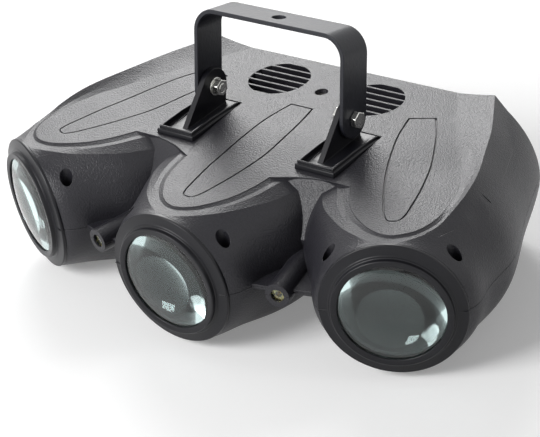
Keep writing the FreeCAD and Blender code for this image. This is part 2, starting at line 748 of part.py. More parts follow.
def skin(upper, inset):
    """The lobes and the webs between them, under the ledge or over the underside."""
    arms = [fanned(web(upper, inset), -0.5), fanned(web(upper, inset), 0.5)]
    flat = S.ledge_height.value if upper else S.belly_depth.value
    return trimmed(lobes(upper, inset).fuse(arms), upper, inset, flat)


def smooth_face(points, height):
    """A flat face with straight rear corners and a smooth curve through the rest."""
    corners = [FreeCAD.Vector(a, b, height) for a, b in points]
    curve = Part.BSplineCurve()
    curve.interpolate(corners)
    closing = Part.LineSegment(corners[-1], corners[0])
    return Part.Face(Part.Wire([curve.toShape(), closing.toShape()]))


def leaf_shape(grow, low, high):
    """The leaf outline, wider or narrower by grow on each side."""
    half = S.leaf_half.value
    points = [(0.0, S.leaf_tip.value - grow)]
    for across_share, along_share in LEAF_SHARES:
        along = S.leaf_tip.value + along_share * S.leaf_length.value
        if along_share == 1.0:
            along += grow
        points.append((across_share * half + grow, along))
        points.insert(0, (-across_share * half - grow, along))
    return smooth_face(points, low).extrude(FreeCAD.Vector(0, 0, high - low))


def under_roof(drop):
    """Everything under the roof surface less a drop: the roof is turned about the point of the axes."""
    rise = S.roof_fall.value
    front = S.roof_height.value - rise - drop
    low = -S.belly_depth.value
    line = []
    for along_share, rise_share in ROOF_SHARES:
        line.append(FreeCAD.Vector(0, along_share * S.body_depth.value, front + rise_share * rise))
    curve = Part.BSplineCurve()
    curve.interpolate(line)
    middle = FreeCAD.Vector(0, S.fan_radius.value, line[-1].z)
    corners = [line[-1], middle, FreeCAD.Vector(0, middle.y, low), FreeCAD.Vector(0, line[0].y, low), line[0]]
    wire = Part.Wire([curve.toShape()] + Part.makePolygon(corners).Edges)
    turned = Part.Face(wire).revolve(middle, Z_WAY, 360)
    turned.rotate(middle, Z_WAY, 180)
    return turned


def roof_at(across, along):
    """Height of the roof over a place in a head frame."""
    reach = math.hypot(across, S.fan_radius.value - along)
    share = (S.fan_radius.value - reach) / S.body_depth.value
    front = S.roof_height.value - S.roof_fall.value
    for before, after in zip(ROOF_SHARES, ROOF_SHARES[1:]):
        if share <= after[0]:
            part = (share - before[0]) / (after[0] - before[0])
            return front + S.roof_fall.value * (before[1] + part * (after[1] - before[1]))
    return S.roof_height.value


def lip_row(shares, sign, shift=0.0, lead=0.0):
    """Roof edge, middle lip and outer lip of one row, in one upright plane."""
    half = S.tongue_half.value
    length = S.tongue_length.value
    front = S.roof_height.value - S.roof_fall.value
    fade = 1 - shares[0]
    spots = []
    for across, along, drop in (shares[:2] + (0.0,), shares[2:5], shares[5:]):
        x = sign * across * half + fade * shift
        y = along * length - fade * lead
        spots.append(FreeCAD.Vector(x, y, front - drop * S.ledge_drop.value))
    edge, middle, outer = spots
    edge.z = roof_at(edge.x, edge.y)
    way = FreeCAD.Vector(middle.x - edge.x, middle.y - edge.y, 0)
    reach = (outer - edge).dot(way) / way.dot(way)
    return edge, middle, FreeCAD.Vector(edge.x + reach * way.x, edge.y + reach * way.y, outer.z)


def lip_rows(turn):
    """The rows round the tongue of one head, from one side over the tip to the other."""
    if not turn:
        near = [lip_row(shares, -1) for shares in TONGUE_SHARES]
        return near + [lip_row(shares, 1) for shares in TONGUE_SHARES[-2::-1]]
    shift = turn * S.tongue_shift.value
    rows = [lip_row(shares, -turn, shift, S.tongue_lead.value) for shares in TONGUE_SHARES]
    return rows + [lip_row(shares, turn) for shares in OUTER_SHARES]


def cove_point(edge, middle):
    """The lowest point of the hollow between the roof edge and the middle lip."""
    spot = (edge + middle) / 2
    spot.z -= S.cove_sag.value
    return spot


def lip_cut(turn):
    """What lies over the lips of one head."""
    high = 2 * S.roof_height.value
    wires = []
    rows = lip_rows(turn)
    sinks = [0.0] * len(rows)
    if turn:
        sinks[-len(SINK_SHARES):] = [share * S.ledge_drop.value for share in SINK_SHARES]
    for (edge, middle, outer), sink in zip(rows, sinks):
        down = Z_WAY * sink
        start = edge - Z_WAY * S.lip_edge.value
        cove = cove_point(start, middle) - down
        past = outer + (outer - middle) * PAST_SHARE
        corners = [start, cove, middle - down, outer - down, past - down]
        corners.append(FreeCAD.Vector(past.x, past.y, high))
        corners.append(FreeCAD.Vector(edge.x, edge.y, high))
        wires.append(Part.makePolygon(corners + [corners[0]]))
    return fanned(Part.makeLoft(wires, True, False), turn)


def crest_shape(side):
    """The raised outer edge of an outer lobe: hollow towards the roof, a flat wall outside."""
    low = S.ledge_height.value - 6 * S.wall.value
    wires = []
    rows = [lip_row(shares, side) for shares in OUTER_SHARES[3:] + CREST_SHARES]
    sinks = [share * S.ledge_drop.value for share in START_SHARES]
    sinks += [0.0] * (len(rows) - len(sinks))
    for (edge, middle, outer), sink in zip(rows, sinks):
        down = Z_WAY * sink
        way = FreeCAD.Vector(edge.x - middle.x, edge.y - middle.y, 0)
        way.normalize()
        start = edge + way * S.wall.value - Z_WAY * S.wall.value / 3
        corners = [
            FreeCAD.Vector(start.x, start.y, low),
            start - down,
            edge - Z_WAY * S.crease_sink.value - down,
            cove_point(edge, middle) - down,
            middle - down,
            outer - down,
            FreeCAD.Vector(outer.x, outer.y, low),
        ]
        wires.append(Part.makePolygon(corners + [corners[0]]))
    band = fanned(Part.makeLoft(wires, True, False), side)
    reach = 4 * S.body_depth.value
    keep = block_shape(-reach, 0, 0, 2 * reach, S.body_depth.value, reach)
    return band.common(keep)


def bridge_shape():
    """The roof between the lobes."""
    low = S.ledge_height.value - 3 * S.wall.value
    front = []
    for turn in (-0.5, 0.5):
        for sign, rows in ((-1, BRIDGE_SHARES[:0:-1]), (1, BRIDGE_SHARES)):
            for across, along in rows:
                spot = FreeCAD.Vector(sign * across * S.chute_half.value, along * S.bridge_front.value, low)
                pivot = FreeCAD.Vector(0, S.fan_radius.value, low)
                swing = FreeCAD.Rotation(Z_WAY, turn * S.fan_angle.value)
                front.append(pivot + swing.multVec(spot - pivot))
    front.append(FreeCAD.Vector(0, S.fan_radius.value, low))
    roof = prism_shape(front, Z_WAY * S.roof_height.value)
    reach = 4 * S.body_depth.value
    return roof.common(block_shape(-reach, 0, 0, 2 * reach, S.body_depth.value, reach))


def column_places():
    """The six shell screws, as places in the frame of the centre head."""
    spots = []
    for turn in (-1, 0, 1):
        for side in (-1, 1):
            spot = FreeCAD.Vector(side * S.column_x.value, S.column_y.value, 0)
            pivot = FreeCAD.Vector(0, S.fan_radius.value, 0)
            swing = FreeCAD.Rotation(Z_WAY, turn * S.fan_angle.value)
            spots.append(pivot + swing.multVec(spot - pivot))
    return spots


def upright(spot, low, high, radius):
    base = FreeCAD.Vector(spot.x, spot.y, low)
    return Part.makeCylinder(radius, high - low, base, Z_WAY)


def rear_opening(low, high):
    """The opening for the rear panel in the rear wall."""
    half = S.window_half.value
    start = S.body_depth.value - S.rear_wall.value - S.overrun.value
    deep = S.rear_wall.value + 2 * S.overrun.value
    return block_shape(-half, start, low, 2 * half, deep, high - low)


def front_bore(start, end, radius):
    return Part.makeCylinder(radius, end - start, FreeCAD.Vector(0, start, 0), Y_WAY)


def front_cuts(upper):
    """Openings for the three collars and the two aperture tubes."""
    bore_radius = S.spigot_radius.value + S.spigot_gap.value
    start = -S.overrun.value
    collar = front_bore(start, S.collar_back.value + S.front_wall.value + S.overrun.value, bore_radius)
    tools = [fanned(collar, turn) for turn in (-1, 0, 1)]
    inner = S.laser_front.value + S.laser_lip.value
    hole = front_bore(start, inner + S.overrun.value, S.laser_hole_radius.value)
    room = front_bore(inner, S.laser_tube_back.value + S.overrun.value, S.laser_radius.value + S.slip.value)
    for turn in (-0.5, 0.5):
        tools.append(fanned(hole, turn))
        tools.append(fanned(room, turn))
    return tools


def shelf_and_tubes(upper):
    tube = half_rod(upper, S.laser_front.value, S.laser_tube_back.value, S.laser_tube_radius.value)
    plate = shelf(upper)
    return [fanned(shape, turn) for shape in (tube, plate) for turn in (-0.5, 0.5)]


def collar_room():
    """The space in front of the shells that the collars fill, which the flange must not enter."""
    radius = S.collar_radius.value + S.seat_gap.value
    room = front_bore(-S.body_depth.value, S.collar_back.value, radius)
    return [fanned(room, turn) for turn in (-1, 0, 1)]


def make_upper_shell():
    cuts = [lip_cut(turn) for turn in (-1, 0, 1)]
    webs = [fanned(web(True, 0.0), -0.5), fanned(web(True, 0.0), 0.5)]
    bulk = lobes(True, 0.0).cut(cuts).fuse(webs + [bridge_shape()]).common(under_roof(0.0))
    outer = bulk.fuse([crest_shape(1), crest_shape(-1)] + shelf_and_tubes(True))
    outer = outer.cut(collar_room()[0].fuse(collar_room()[1:]))
    inner = skin(True, S.wall.value)
    for turn, tool in zip((-1, 0, 1), cuts):
        tool.translate(Z_WAY * -S.wall.value)
        inner = inner.cut(tool)
        back = FreeCAD.Rotation(Z_WAY, turn * S.fan_angle.value).multVec(Y_WAY)
        tool.translate(back * S.wall.value)
        inner = inner.cut(tool)
    columns = []
    bores = []
    for spot in column_places():
        columns.append(upright(spot, 0.0, S.ledge_height.value, S.column_radius.value))
        bores.append(upright(spot, S.sink_hole_floor.value, 2 * S.roof_height.value, S.sink_hole_radius.value))
        bores.append(upright(spot, -S.overrun.value, S.roof_height.value, S.screw_radius.value + S.slip.value))
    tubes = [half_rod(True, S.laser_front.value, S.laser_tube_back.value, S.laser_tube_radius.value)]
    inner = inner.cut(columns + [fanned(tubes[0], -0.5), fanned(tubes[0], 0.5)])
    mic_spot = FreeCAD.Vector(0, S.mic_y.value, 0)
    mic_low = S.ledge_height.value - S.mic_length.value
    mic_ring = upright(mic_spot, mic_low, S.ledge_height.value, S.mic_radius.value + S.wall.value)
    inner = inner.cut(mic_ring)
    shell = outer.cut(inner)
    shell = shell.cut(front_cuts(True) + bores + [rear_opening(-S.overrun.value, S.window_rise.value)])
    top = 2 * S.roof_height.value
    tools = [upright(mic_spot, 0.0, top, S.mic_radius.value)]
    for side in (-1, 1):
        tools.extend(vent_slots(side))
        tools.append(shoe_seat(side))
    shell = shell.cut(tools)
    half = S.groove_width.value / 2
    low = S.ledge_height.value - S.wall.value
    ring = leaf_shape(half, low, top).cut(leaf_shape(-half, low - S.overrun.value, top + S.overrun.value))
    ring = ring.cut(under_roof(S.groove_depth.value))
    shell = shell.cut([fanned(ring, turn) for turn in (-1, 0, 1)])
    lift = S.parting_gap.value
    reach = 4 * S.body_depth.value
    trim = block_shape(-reach / 2, -reach / 2, -reach, reach, reach, reach + lift / 2)
    return shell.cut(trim)


def vent_slots(side):
    """The slots of one round vent, which end on its circle."""
    slots = []
    count = number_of(S.slot_count)
    low = S.ledge_height.value - 2 * S.wall.value
    high = 2 * S.roof_height.value
    radius = S.vent_radius.value
    middle = side * S.vent_x.value
    circle = upright(FreeCAD.Vector(middle, S.vent_y.value, 0), low, high, radius)
    for index in range(count):
        away = (index - (count - 1) / 2) * S.slot_pitch.value
        y = S.vent_y.value + away - S.slot_width.value / 2
        slot = block_shape(middle - radius, y, low, 2 * radius, S.slot_width.value, high - low)
        slots.append(slot.common(circle))
    return slots


def shoe_seat(side):
    """The flat seat of a bracket shoe in the roof."""
    gap = S.seat_gap.value
    half = S.shoe_half.value + gap
    x = side * S.shoe_x.value - half
    y = S.shoe_front.value - gap
    low = S.ledge_height.value
    deep = S.shoe_length.value + 2 * gap
    return block_shape(x, y, low, 2 * half, deep, S.flare_height.value)


def make_lower_shell():
    outer = skin(False, 0.0).fuse(shelf_and_tubes(False))
    outer = outer.cut(collar_room()[0].fuse(collar_room()[1:]))
    inner = skin(False, S.wall.value)
    floor = -S.belly_depth.value + S.wall.value
    columns = []
    bores = []
    for spot in column_places():
        columns.append(upright(spot, -S.belly_depth.value, 0.0, S.column_radius.value))
        deep = S.screw_length.value - S.sink_hole_floor.value + S.overrun.value
        bores.append(upright(spot, -deep, S.overrun.value, S.screw_radius.value + S.slip.value))
    for spot in chassis_posts():
        top = -S.chassis_height.value - S.sheet_thick.value
        columns.append(upright(spot, floor - S.overrun.value, top, S.post_radius.value))
    tube = half_rod(False, S.laser_front.value, S.laser_tube_back.value, S.laser_tube_radius.value)
    inner = inner.cut(columns + [fanned(tube, -0.5), fanned(tube, 0.5)])
    shell = outer.cut(inner)
    shell = shell.cut(front_cuts(False) + bores + [rear_opening(-S.window_rise.value, S.overrun.value)])
    drop = S.parting_gap.value
    reach = 4 * S.body_depth.value
    trim = block_shape(-reach / 2, -reach / 2, -drop / 2, reach, reach, reach)
    return shell.cut(trim)


def chassis_posts():
    """Where the chassis plate stands on the lower shell."""
    spots = []
    for side in (-1, 1):
        for y in (S.power_front.value, S.chassis_back.value - 2 * S.post_radius.value):
            spots.append(FreeCAD.Vector(side * S.post_x.value, y, 0))
    spots.append(FreeCAD.Vector(0, S.chassis_arm_front.value + 2 * S.post_radius.value, 0))
    return spots


piece("upper_shell", shaped(make_upper_shell()))
piece("lower_shell", shaped(make_lower_shell()))


# The head pieces, front to back.
def make_bezel():
    """The smooth collar with its stepped front ring and the spigot that sits in the shells."""
    inner = S.lens_radius + S.seat_gap
    return turned_body((
        (S.lens_view_radius, S.ring_edge),
        (S.ring_radius - S.ring_edge, ZERO),
        (S.ring_radius, S.ring_edge),
        (S.ring_radius, S.step_depth - S.ring_edge),
        (S.step_radius, S.step_depth),
        (S.collar_radius - S.ring_edge, S.collar_front - S.ring_edge),
        (S.collar_radius, S.collar_front),
        (S.collar_radius, S.collar_back),
        (S.spigot_radius, S.collar_back),
        (S.spigot_radius, S.spigot_back),
        (inner, S.spigot_back),
        (inner, S.lip_depth),
        (S.lens_view_radius, S.lip_depth),
    ))


def crowned_lens(radius, front, back, bulge):
    """Glass with a flat back and a crowned front, between two distances on the head axis."""
    ball_radius = (radius * radius + bulge * bulge) / (bulge * 2)
    glass = rod(ZERO, front, ZERO, "Y", radius, back - front)
    return common(glass, ball(ZERO, front + ball_radius, ZERO, ball_radius))


def make_inner_tube():
    """The black tube between the lens and the pattern wheel, with the flange that holds the lens."""
    front = S.lens_back + S.gasket_thick
    rim = S.lens_radius
    return turned_body((
        (S.tube_front_radius - S.tube_wall, front),
        (rim, front),
        (rim, front + S.tube_flange),
        (S.tube_front_radius, front + S.tube_flange),
        (S.tube_rear_radius, S.tube_rear),
        (S.tube_rear_radius - S.tube_wall, S.tube_rear),
    ))


def make_pattern_wheel():
    """The wheel on its motor shaft, with a ring of round pattern openings."""
    body = new_body()
    disc = new_sketch(body, "XZ_Plane")
    draw_circle(disc, ZERO, ZERO, S.wheel_radius)
    pad(body, disc, S.wheel_thick, flip=True)
    opening = new_sketch(body, "XZ_Plane")
    draw_circle(opening, -S.wheel_offset + S.slip, ZERO, S.pattern_radius - S.slip)
    hole = pocket(body, opening, S.wheel_thick + S.overrun)
    round_repeat(body, hole, "Y_Axis", number_of(S.pattern_count))
    hub = new_sketch(body, "XZ_Plane")
    draw_circle(hub, ZERO, ZERO, S.hub_radius)
    pad(body, hub, S.wheel_thick + S.hub_length, flip=True)
    shaft = new_sketch(body, "XZ_Plane")
    draw_circle(shaft, ZERO, ZERO, S.shaft_radius)
    pad(body, shaft, S.shaft_length, flip=True)
    shift = doc.addObject("Part::Compound", "wheel_place")
    shift.Links = [place(body, S.wheel_offset, S.wheel_front, ZERO)]
    return shift


def make_optics_frame():
    """The folded plate that carries the motor, the small lens and the heat sink."""
    wide = S.frame_left + S.frame_right
    floor = -S.chassis_height
    high = S.chassis_height + S.frame_top
    plate = box(-S.frame_left, S.frame_front, floor, wide, S.sheet_thick, high)
    foot = box(-S.frame_left, S.frame_front, floor, wide, S.frame_foot, S.sheet_thick)
    back = S.frame_front + S.sheet_thick
    holder = rod(ZERO, S.frame_front, ZERO, "Y", S.condenser_radius + S.slip + S.holder_wall,
                 S.sheet_thick + S.holder_length)
    parts = [plate, foot, holder]
    sink_front = S.board_front + S.board_thick
    for across in (-1, 1):
        for up in (-1, 1):
            x = S.pillar_spread * across
            z = S.pillar_spread * up
            parts.append(rod(x, S.frame_front, z, "Y", S.pillar_radius, sink_front - S.frame_front))
    aperture = rod(ZERO, S.frame_front - S.overrun, ZERO, "Y", S.aperture_radius,
                   S.sheet_thick + 2 * S.overrun)
    room = rod(ZERO, back, ZERO, "Y", S.condenser_radius + S.slip, S.holder_length + S.overrun)
    shaft = rod(S.wheel_offset, S.frame_front - S.overrun, ZERO, "Y", S.shaft_radius * 2,
                S.sheet_thick + 2 * S.overrun)
    return cut(fuse(*parts), aperture, room, shaft)


def make_condenser():
    front = S.frame_front + S.sheet_thick
    return crowned_lens(S.condenser_radius, front, front + S.condenser_thick, S.condenser_bulge)


def make_wheel_motor():
    """The small can motor behind the plate, with two screw ears and the hole of its shaft."""
    front = S.frame_front + S.sheet_thick
    can = rod(S.wheel_offset, front, ZERO, "Y", S.motor_radius, S.motor_length)
    ears = middle_box(S.wheel_offset, front, ZERO, S.motor_ear * 2, S.board_thick,
                      (S.motor_radius + S.motor_ear) * 2)
    shaft_end = S.wheel_front + S.shaft_length + S.seat_gap
    hole = rod(S.wheel_offset, front - S.overrun, ZERO, "Y", S.shaft_radius + S.slip,
               shaft_end - front + S.overrun)
    return cut(fuse(can, ears), hole)


def make_light_board():
    side = S.board_half * 2
    board = middle_box(ZERO, S.board_front, ZERO, side, S.board_thick, side)
    tile = S.emitter_half * 2
    emitter = middle_box(ZERO, S.board_front - S.emitter_thick, ZERO, tile, S.emitter_thick, tile)
    return fuse(board, emitter)


def make_heat_sink():
    side = S.sink_half * 2
    front = S.board_front + S.board_thick
    parts = [middle_box(ZERO, front, ZERO, side, S.sink_base, side)]
    count = number_of(S.fin_count)
    step = (side - S.fin_thick) / (count - 1)
    for index in range(count):
        x = -S.sink_half + step * index
        parts.append(box(x, front, -S.sink_half, S.fin_thick, S.sink_base + S.fin_length, side))
    return fuse(*parts)


def gasket_ring(turn):
    outer = rod(ZERO, S.lens_back, ZERO, "Y", S.lens_radius, S.gasket_thick)
    inner = rod(ZERO, S.lens_back - S.overrun, ZERO, "Y", S.lens_radius - S.gasket_band,
                S.gasket_thick + 2 * S.overrun)
    return swing_to(cut(outer, inner), turn)


HEADS = (("left", -1), ("centre", 0), ("right", 1))
for word, turn in HEADS:
    piece("bezel_" + word, make_bezel(), turn)
    lens = crowned_lens(S.lens_radius, -S.lens_reach, S.lens_back, S.lens_bulge)
    piece("lens_" + word, lens, turn)
    piece("inner_tube_" + word, make_inner_tube(), turn)
    piece("pattern_wheel_" + word, make_pattern_wheel(), turn)
    piece("wheel_motor_" + word, make_wheel_motor(), turn)
    piece("optics_frame_" + word, make_optics_frame(), turn)
    piece("condenser_lens_" + word, make_condenser(), turn)
    piece("light_board_" + word, make_light_board(), turn)
    piece("heat_sink_" + word, make_heat_sink(), turn)
piece("lens_gaskets", group(*[gasket_ring(turn) for word, turn in HEADS]))


# The two small light modules between the heads.
window_front = S.laser_front + S.laser_lip
windows = []
modules = []
for turn in (-0.5, 0.5):
    disc = rod(ZERO, window_front, ZERO, "Y", S.window_radius, S.window_thick)
    windows.append(swing_to(group(disc), turn))
    module = rod(ZERO, window_front + S.window_thick, ZERO, "Y", S.laser_radius, S.laser_length)
    bore = rod(ZERO, window_front, ZERO, "Y", S.laser_hole_radius / 2, S.laser_length / 4)
    modules.append(swing_to(cut(module, bore), turn))
piece("aperture_windows", group(*windows))
piece("beam_modules", group(*modules))


# The screws that hold the shells together, in their deep counterbores.
def shell_screw(turn, side):
    x = S.column_x * side
    y = S.column_y
    head = rod(x, y, S.sink_hole_floor, "Z", S.screw_head_radius, S.screw_head)
    shank = rod(x, y, S.sink_hole_floor - S.screw_length, "Z", S.screw_radius, S.screw_length)
    drive = rod(x, y, S.sink_hole_floor + S.screw_head / 2, "Z", S.screw_radius, S.screw_head)
    return swing_to(cut(fuse(head, shank), drive), turn)


screws = [shell_screw(turn, side) for word, turn in HEADS for side in (-1, 1)]
piece("shell_screws", group(*screws))


# Rubber feet.
def rubber_foot(x, y):
    return cone(x, y, -S.belly_depth - S.foot_height, "Z", S.foot_tip_radius, S.foot_radius, S.foot_height)


feet = [rubber_foot(S.foot_x * side, S.foot_back) for side in (-1, 1)]
for turn in (-1, 0, 1):
    angle = S.fan_angle * turn
    arm = S.fan_radius - S.foot_front
    feet.append(rubber_foot(arm * sine(angle), S.fan_radius - arm * cosine(angle)))
piece("rubber_feet", group(*feet))


# The bracket shoes: a rimmed wedge base and a leaning ear for the tilt bolt.
def sloped_block(half, front, back, base, front_top, back_top):
    """A block across X whose top slopes from front to back."""
    body = new_body()
    outline = new_sketch(body, "YZ_Plane")
    draw_outline(outline, ((front, base), (back, base), (back, back_top), (front, front_top)))
    pad(body, outline, half * 2, both=True)
    return body


def make_shoe(side):
    base_z = S.ledge_height
    middle = S.shoe_x * side
    back = S.shoe_front + S.shoe_length
    low_top = S.shoe_top - S.rim_drop
    lower = sloped_block(S.shoe_half, S.shoe_front, back, base_z, low_top, S.shoe_tail - S.rim_drop / 4)
    inset = S.rim_step
    upper_half = S.shoe_half - inset
    upper = sloped_block(upper_half, S.shoe_front + inset, back - inset, base_z, S.shoe_top, S.shoe_tail)
    floor_half = upper_half - S.rim_width
    start = S.shoe_front + inset + S.rim_width
    hollow = sloped_block(floor_half, start, back - inset - S.rim_width, S.shoe_floor, S.shoe_top * 2,
                          S.shoe_top * 2)
    tray = cut(fuse(lower, upper), hollow)
    place(tray, middle, ZERO, ZERO)
    ear = new_body()
    outline = new_sketch(ear, "YZ_Plane")
    lean = S.pivot_y - S.ear_radius
    draw_outline(outline, (
        (S.ear_front, base_z + S.wall / 2),
        (S.ear_back, base_z + S.wall / 2),
        (S.ear_back + S.ear_radius / 3, S.pivot_height - S.ear_radius / 3),
        (S.pivot_y + S.ear_radius / 2, S.pivot_height + S.ear_radius / 2),
        (lean + S.ear_radius / 3, S.pivot_height + S.ear_radius / 2),
    ))
    pad(ear, outline, S.ear_thick)
    inner = S.ear_inner if side > 0 else -S.ear_inner - S.ear_thick
    place(ear, inner, ZERO, ZERO)
    eye = rod(inner, S.pivot_y, S.pivot_height, "X", S.ear_radius, S.ear_thick)
    hole = rod(inner - S.overrun, S.pivot_y, S.pivot_height, "X", S.bolt_radius + S.slip,
               S.ear_thick + 2 * S.overrun)
    return cut(fuse(tray, ear, eye), hole)


piece("bracket_shoe_left", make_shoe(-1))
piece("bracket_shoe_right", make_shoe(1))
LEG_INNER = S.ear_inner + S.ear_thick + S.leg_gap
LEG_OUTER = LEG_INNER + S.strap_thick


def make_bracket():
    """The strap bent to a U, round at both lower ends, drawn upright about the tilt bolts."""
    body = new_body()
    outline = new_sketch(body, "XZ_Plane")
    low = -S.strap_width / 2
    top = S.strap_rise
    inner_top = S.strap_rise - S.strap_thick
    draw_outline(outline, (
        (-LEG_OUTER, low),
        (-LEG_INNER, low),
        (-LEG_INNER, inner_top),
        (LEG_INNER, inner_top),
        (LEG_INNER, low),
        (LEG_OUTER, low),
        (LEG_OUTER, top),
        (-LEG_OUTER, top),
    ))
    pad(body, outline, S.strap_width, both=True)
    doc.recompute()
    bend_edges(body, top, inner_top)
    doc.recompute()
    hanger = new_sketch(body, "XY_Plane")
    draw_circle(hanger, ZERO, ZERO, S.hang_radius)
    pocket(body, hanger, S.strap_rise + S.overrun, flip=True)
    ends = []
    for side in (-1, 1):
        start = LEG_INNER - S.overrun if side > 0 else -LEG_OUTER - S.overrun
        span = S.strap_thick + 2 * S.overrun
        square = box(start, -S.strap_width, -S.strap_width, span, S.strap_width * 2, S.strap_width)
        disc = rod(start - S.overrun, ZERO, ZERO, "X", S.strap_width / 2, span + 2 * S.overrun)
        ends.append(cut(square, disc))
        ends.append(rod(start, ZERO, ZERO, "X", S.bolt_radius + S.slip, span))
    return cut(body, *ends)


def bend_edges(body, top, inner_top):
    """Round the two bends, inside first."""
    for level, radius in ((inner_top, S.strap_bend - S.strap_thick), (top, S.strap_bend)):
        shape = body.Shape
        names = []
        for index, edge in enumerate(shape.Edges, start=1):
            box_of = edge.BoundBox
            level_hit = abs(box_of.ZMin - level.value) < S.slip.value
            if level_hit and box_of.ZLength < S.slip.value and box_of.XLength < S.slip.value:
                names.append("Edge%d" % index)
        before = body.Tip
        bend = body.newObject("PartDesign::Fillet", "bend")
        bend.Base = (before, names)
        bind(bend, "Radius", radius)
        body.Tip = bend
        doc.recompute()


bracket = make_bracket()
bracket.Label = "bracket"
place(bracket, ZERO, RING_Y + S.pivot_y, AXIS_Z + S.pivot_height, X_WAY, -S.strap_lean)
PIECES.append(("bracket", bracket))


# The tilt bolts: heads outside the bracket, washers and nuts inside the ears.
def tilt_bolt(side):
    length = LEG_OUTER - S.ear_inner + S.washer_thick + S.nut_thick + S.seat_gap * 2
    if side > 0:
        head_x = LEG_OUTER + S.leg_gap
        shank_x = head_x - length
    else:
        head_x = -LEG_OUTER - S.leg_gap - S.bolt_head
        shank_x = -LEG_OUTER - S.leg_gap
    head = rod(head_x, S.pivot_y, S.pivot_height, "X", S.bolt_head_radius, S.bolt_head, sides=6)
    shank = rod(shank_x, S.pivot_y, S.pivot_height, "X", S.bolt_radius, length)
    return fuse(head, shank)


def ring_on_bolt(side, start, thick, radius, sides=0):
    """A washer or nut on a tilt bolt, start being its distance from the centre line."""
    x = start if side > 0 else -start - thick
    full = rod(x, S.pivot_y, S.pivot_height, "X", radius, thick, sides=sides)
    hole = rod(x - S.overrun, S.pivot_y, S.pivot_height, "X", S.bolt_radius + S.slip,
               thick + 2 * S.overrun)
    return cut(full, hole)


washer_x = S.ear_inner - S.washer_thick
nut_x = washer_x - S.nut_thick
piece("tilt_bolts", group(tilt_bolt(-1), tilt_bolt(1)))
piece("tilt_washers", group(*[ring_on_bolt(side, washer_x, S.washer_thick, S.washer_radius)
                              for side in (-1, 1)]))
piece("tilt_nuts", group(*[ring_on_bolt(side, nut_x, S.nut_thick, S.bolt_head_radius, sides=6)
                           for side in (-1, 1)]))


# Cooling fans under the round vents.
def make_fan_frame(side):
    x = S.vent_x * side
    top = S.ledge_height - S.wall
    low = top - S.fan_thick
    case = box(x - S.fan_half, S.vent_y - S.fan_half, low, S.fan_half * 2, S.fan_half * 2, S.fan_thick)
    bore = rod(x, S.vent_y, low - S.overrun, "Z", S.fan_bore, S.fan_thick + 2 * S.overrun)
    spokes = [
        box(x - S.fan_bore, S.vent_y - S.spoke_width / 2, low, S.fan_bore * 2, S.spoke_width, S.spoke_thick),
        box(x - S.spoke_width / 2, S.vent_y - S.fan_bore, low, S.spoke_width, S.fan_bore * 2, S.spoke_thick),
    ]
    plate = rod(x, S.vent_y, low, "Z", S.fan_hub_radius, S.spoke_thick)
    pin = rod(x, S.vent_y, low, "Z", S.pin_radius, S.spoke_thick + S.fan_hub_thick / 2)
    return fuse(cut(case, bore), *spokes, plate, pin)


def make_fan_rotor(side):
    x = S.vent_x * side
    low = S.ledge_height - S.wall - S.fan_thick + S.spoke_thick + S.seat_gap
    hub = rod(x, S.vent_y, low, "Z", S.fan_hub_radius, S.fan_hub_thick)
    hole = rod(x, S.vent_y, low - S.overrun, "Z", S.pin_radius + S.slip,
               S.fan_hub_thick / 2 + S.overrun)
    blades = []
    count = number_of(S.blade_count)
    root = S.fan_hub_radius - S.blade_thick
    for index in range(count):
        blade = box(root, -S.blade_rise / 2, -S.blade_thick / 2, S.fan_tip_radius - root,
                    S.blade_rise, S.blade_thick)
        tilt = FreeCAD.Rotation(X_WAY, S.blade_pitch.value)
        swing = FreeCAD.Rotation(Z_WAY, 360.0 * index / count)
        spot = FreeCAD.Vector(x.value, S.vent_y.value, (low + S.fan_hub_thick / 2).value)
        local = FreeCAD.Placement(blade.Placement.Base, FreeCAD.Rotation())
        blade.Placement = FreeCAD.Placement(spot, swing.multiply(tilt)).multiply(local)
        blade.setExpression("Placement.Base.x", None)
        blade.setExpression("Placement.Base.y", None)
        blade.setExpression("Placement.Base.z", None)
        blades.append(blade)
    return cut(fuse(hub, *blades), hole)


piece("fan_frames", group(make_fan_frame(-1), make_fan_frame(1)))
for word, side in (("left", -1), ("right", 1)):
    piece("fan_rotor_" + word, make_fan_rotor(side))


# The microphone in the ring under its hole.
mic_low = S.ledge_height - S.mic_length
piece("microphone", rod(ZERO, S.mic_y, mic_low, "Z", S.mic_radius - S.slip, S.mic_length))


# The chassis plate and the power board on it.
def make_chassis():
    low = -S.chassis_height - S.sheet_thick
    arms = []
    for turn in (-1, 0, 1):
        arm = box(-S.frame_left, S.chassis_arm_front, low, S.frame_left + S.frame_right,
                  S.chassis_arm_back - S.chassis_arm_front, S.sheet_thick)
        if turn:
            arm = swing_to(group(arm), turn)
        arms.append(arm)
    deck = box(-S.chassis_half, S.power_front - S.chassis_arm_front / 2, low, S.chassis_half * 2,
               S.chassis_back - S.power_front + S.chassis_arm_front / 2, S.sheet_thick)
    posts = []
    for x in (-S.power_x + S.post_radius, -S.power_x + S.power_width - S.post_radius):
        for y in (S.power_front + S.post_radius, S.power_front + S.power_length - S.post_radius):
            posts.append(rod(x, y, -S.chassis_height, "Z", S.post_radius, S.post_height))
    return fuse(*arms, deck, *posts)


def make_power_board():
    low = -S.chassis_height + S.post_height
    left = -S.power_x
    board = box(left, S.power_front, low, S.power_width, S.power_length, S.board_thick)
    top = low + S.board_thick
    coil = box(left + S.coil_width, S.power_front + S.coil_width / 3, low, S.coil_width,
               S.coil_width, S.coil_height)
    parts = [board, coil]
    for index in range(2):
        x = left + S.power_width - S.can_radius * 2 - S.can_radius * 3 * index
        parts.append(rod(x, S.power_front + S.can_radius * 3, top, "Z", S.can_radius, S.can_height))
    return fuse(*parts)


piece("chassis_plate", make_chassis())
piece("power_board", make_power_board())


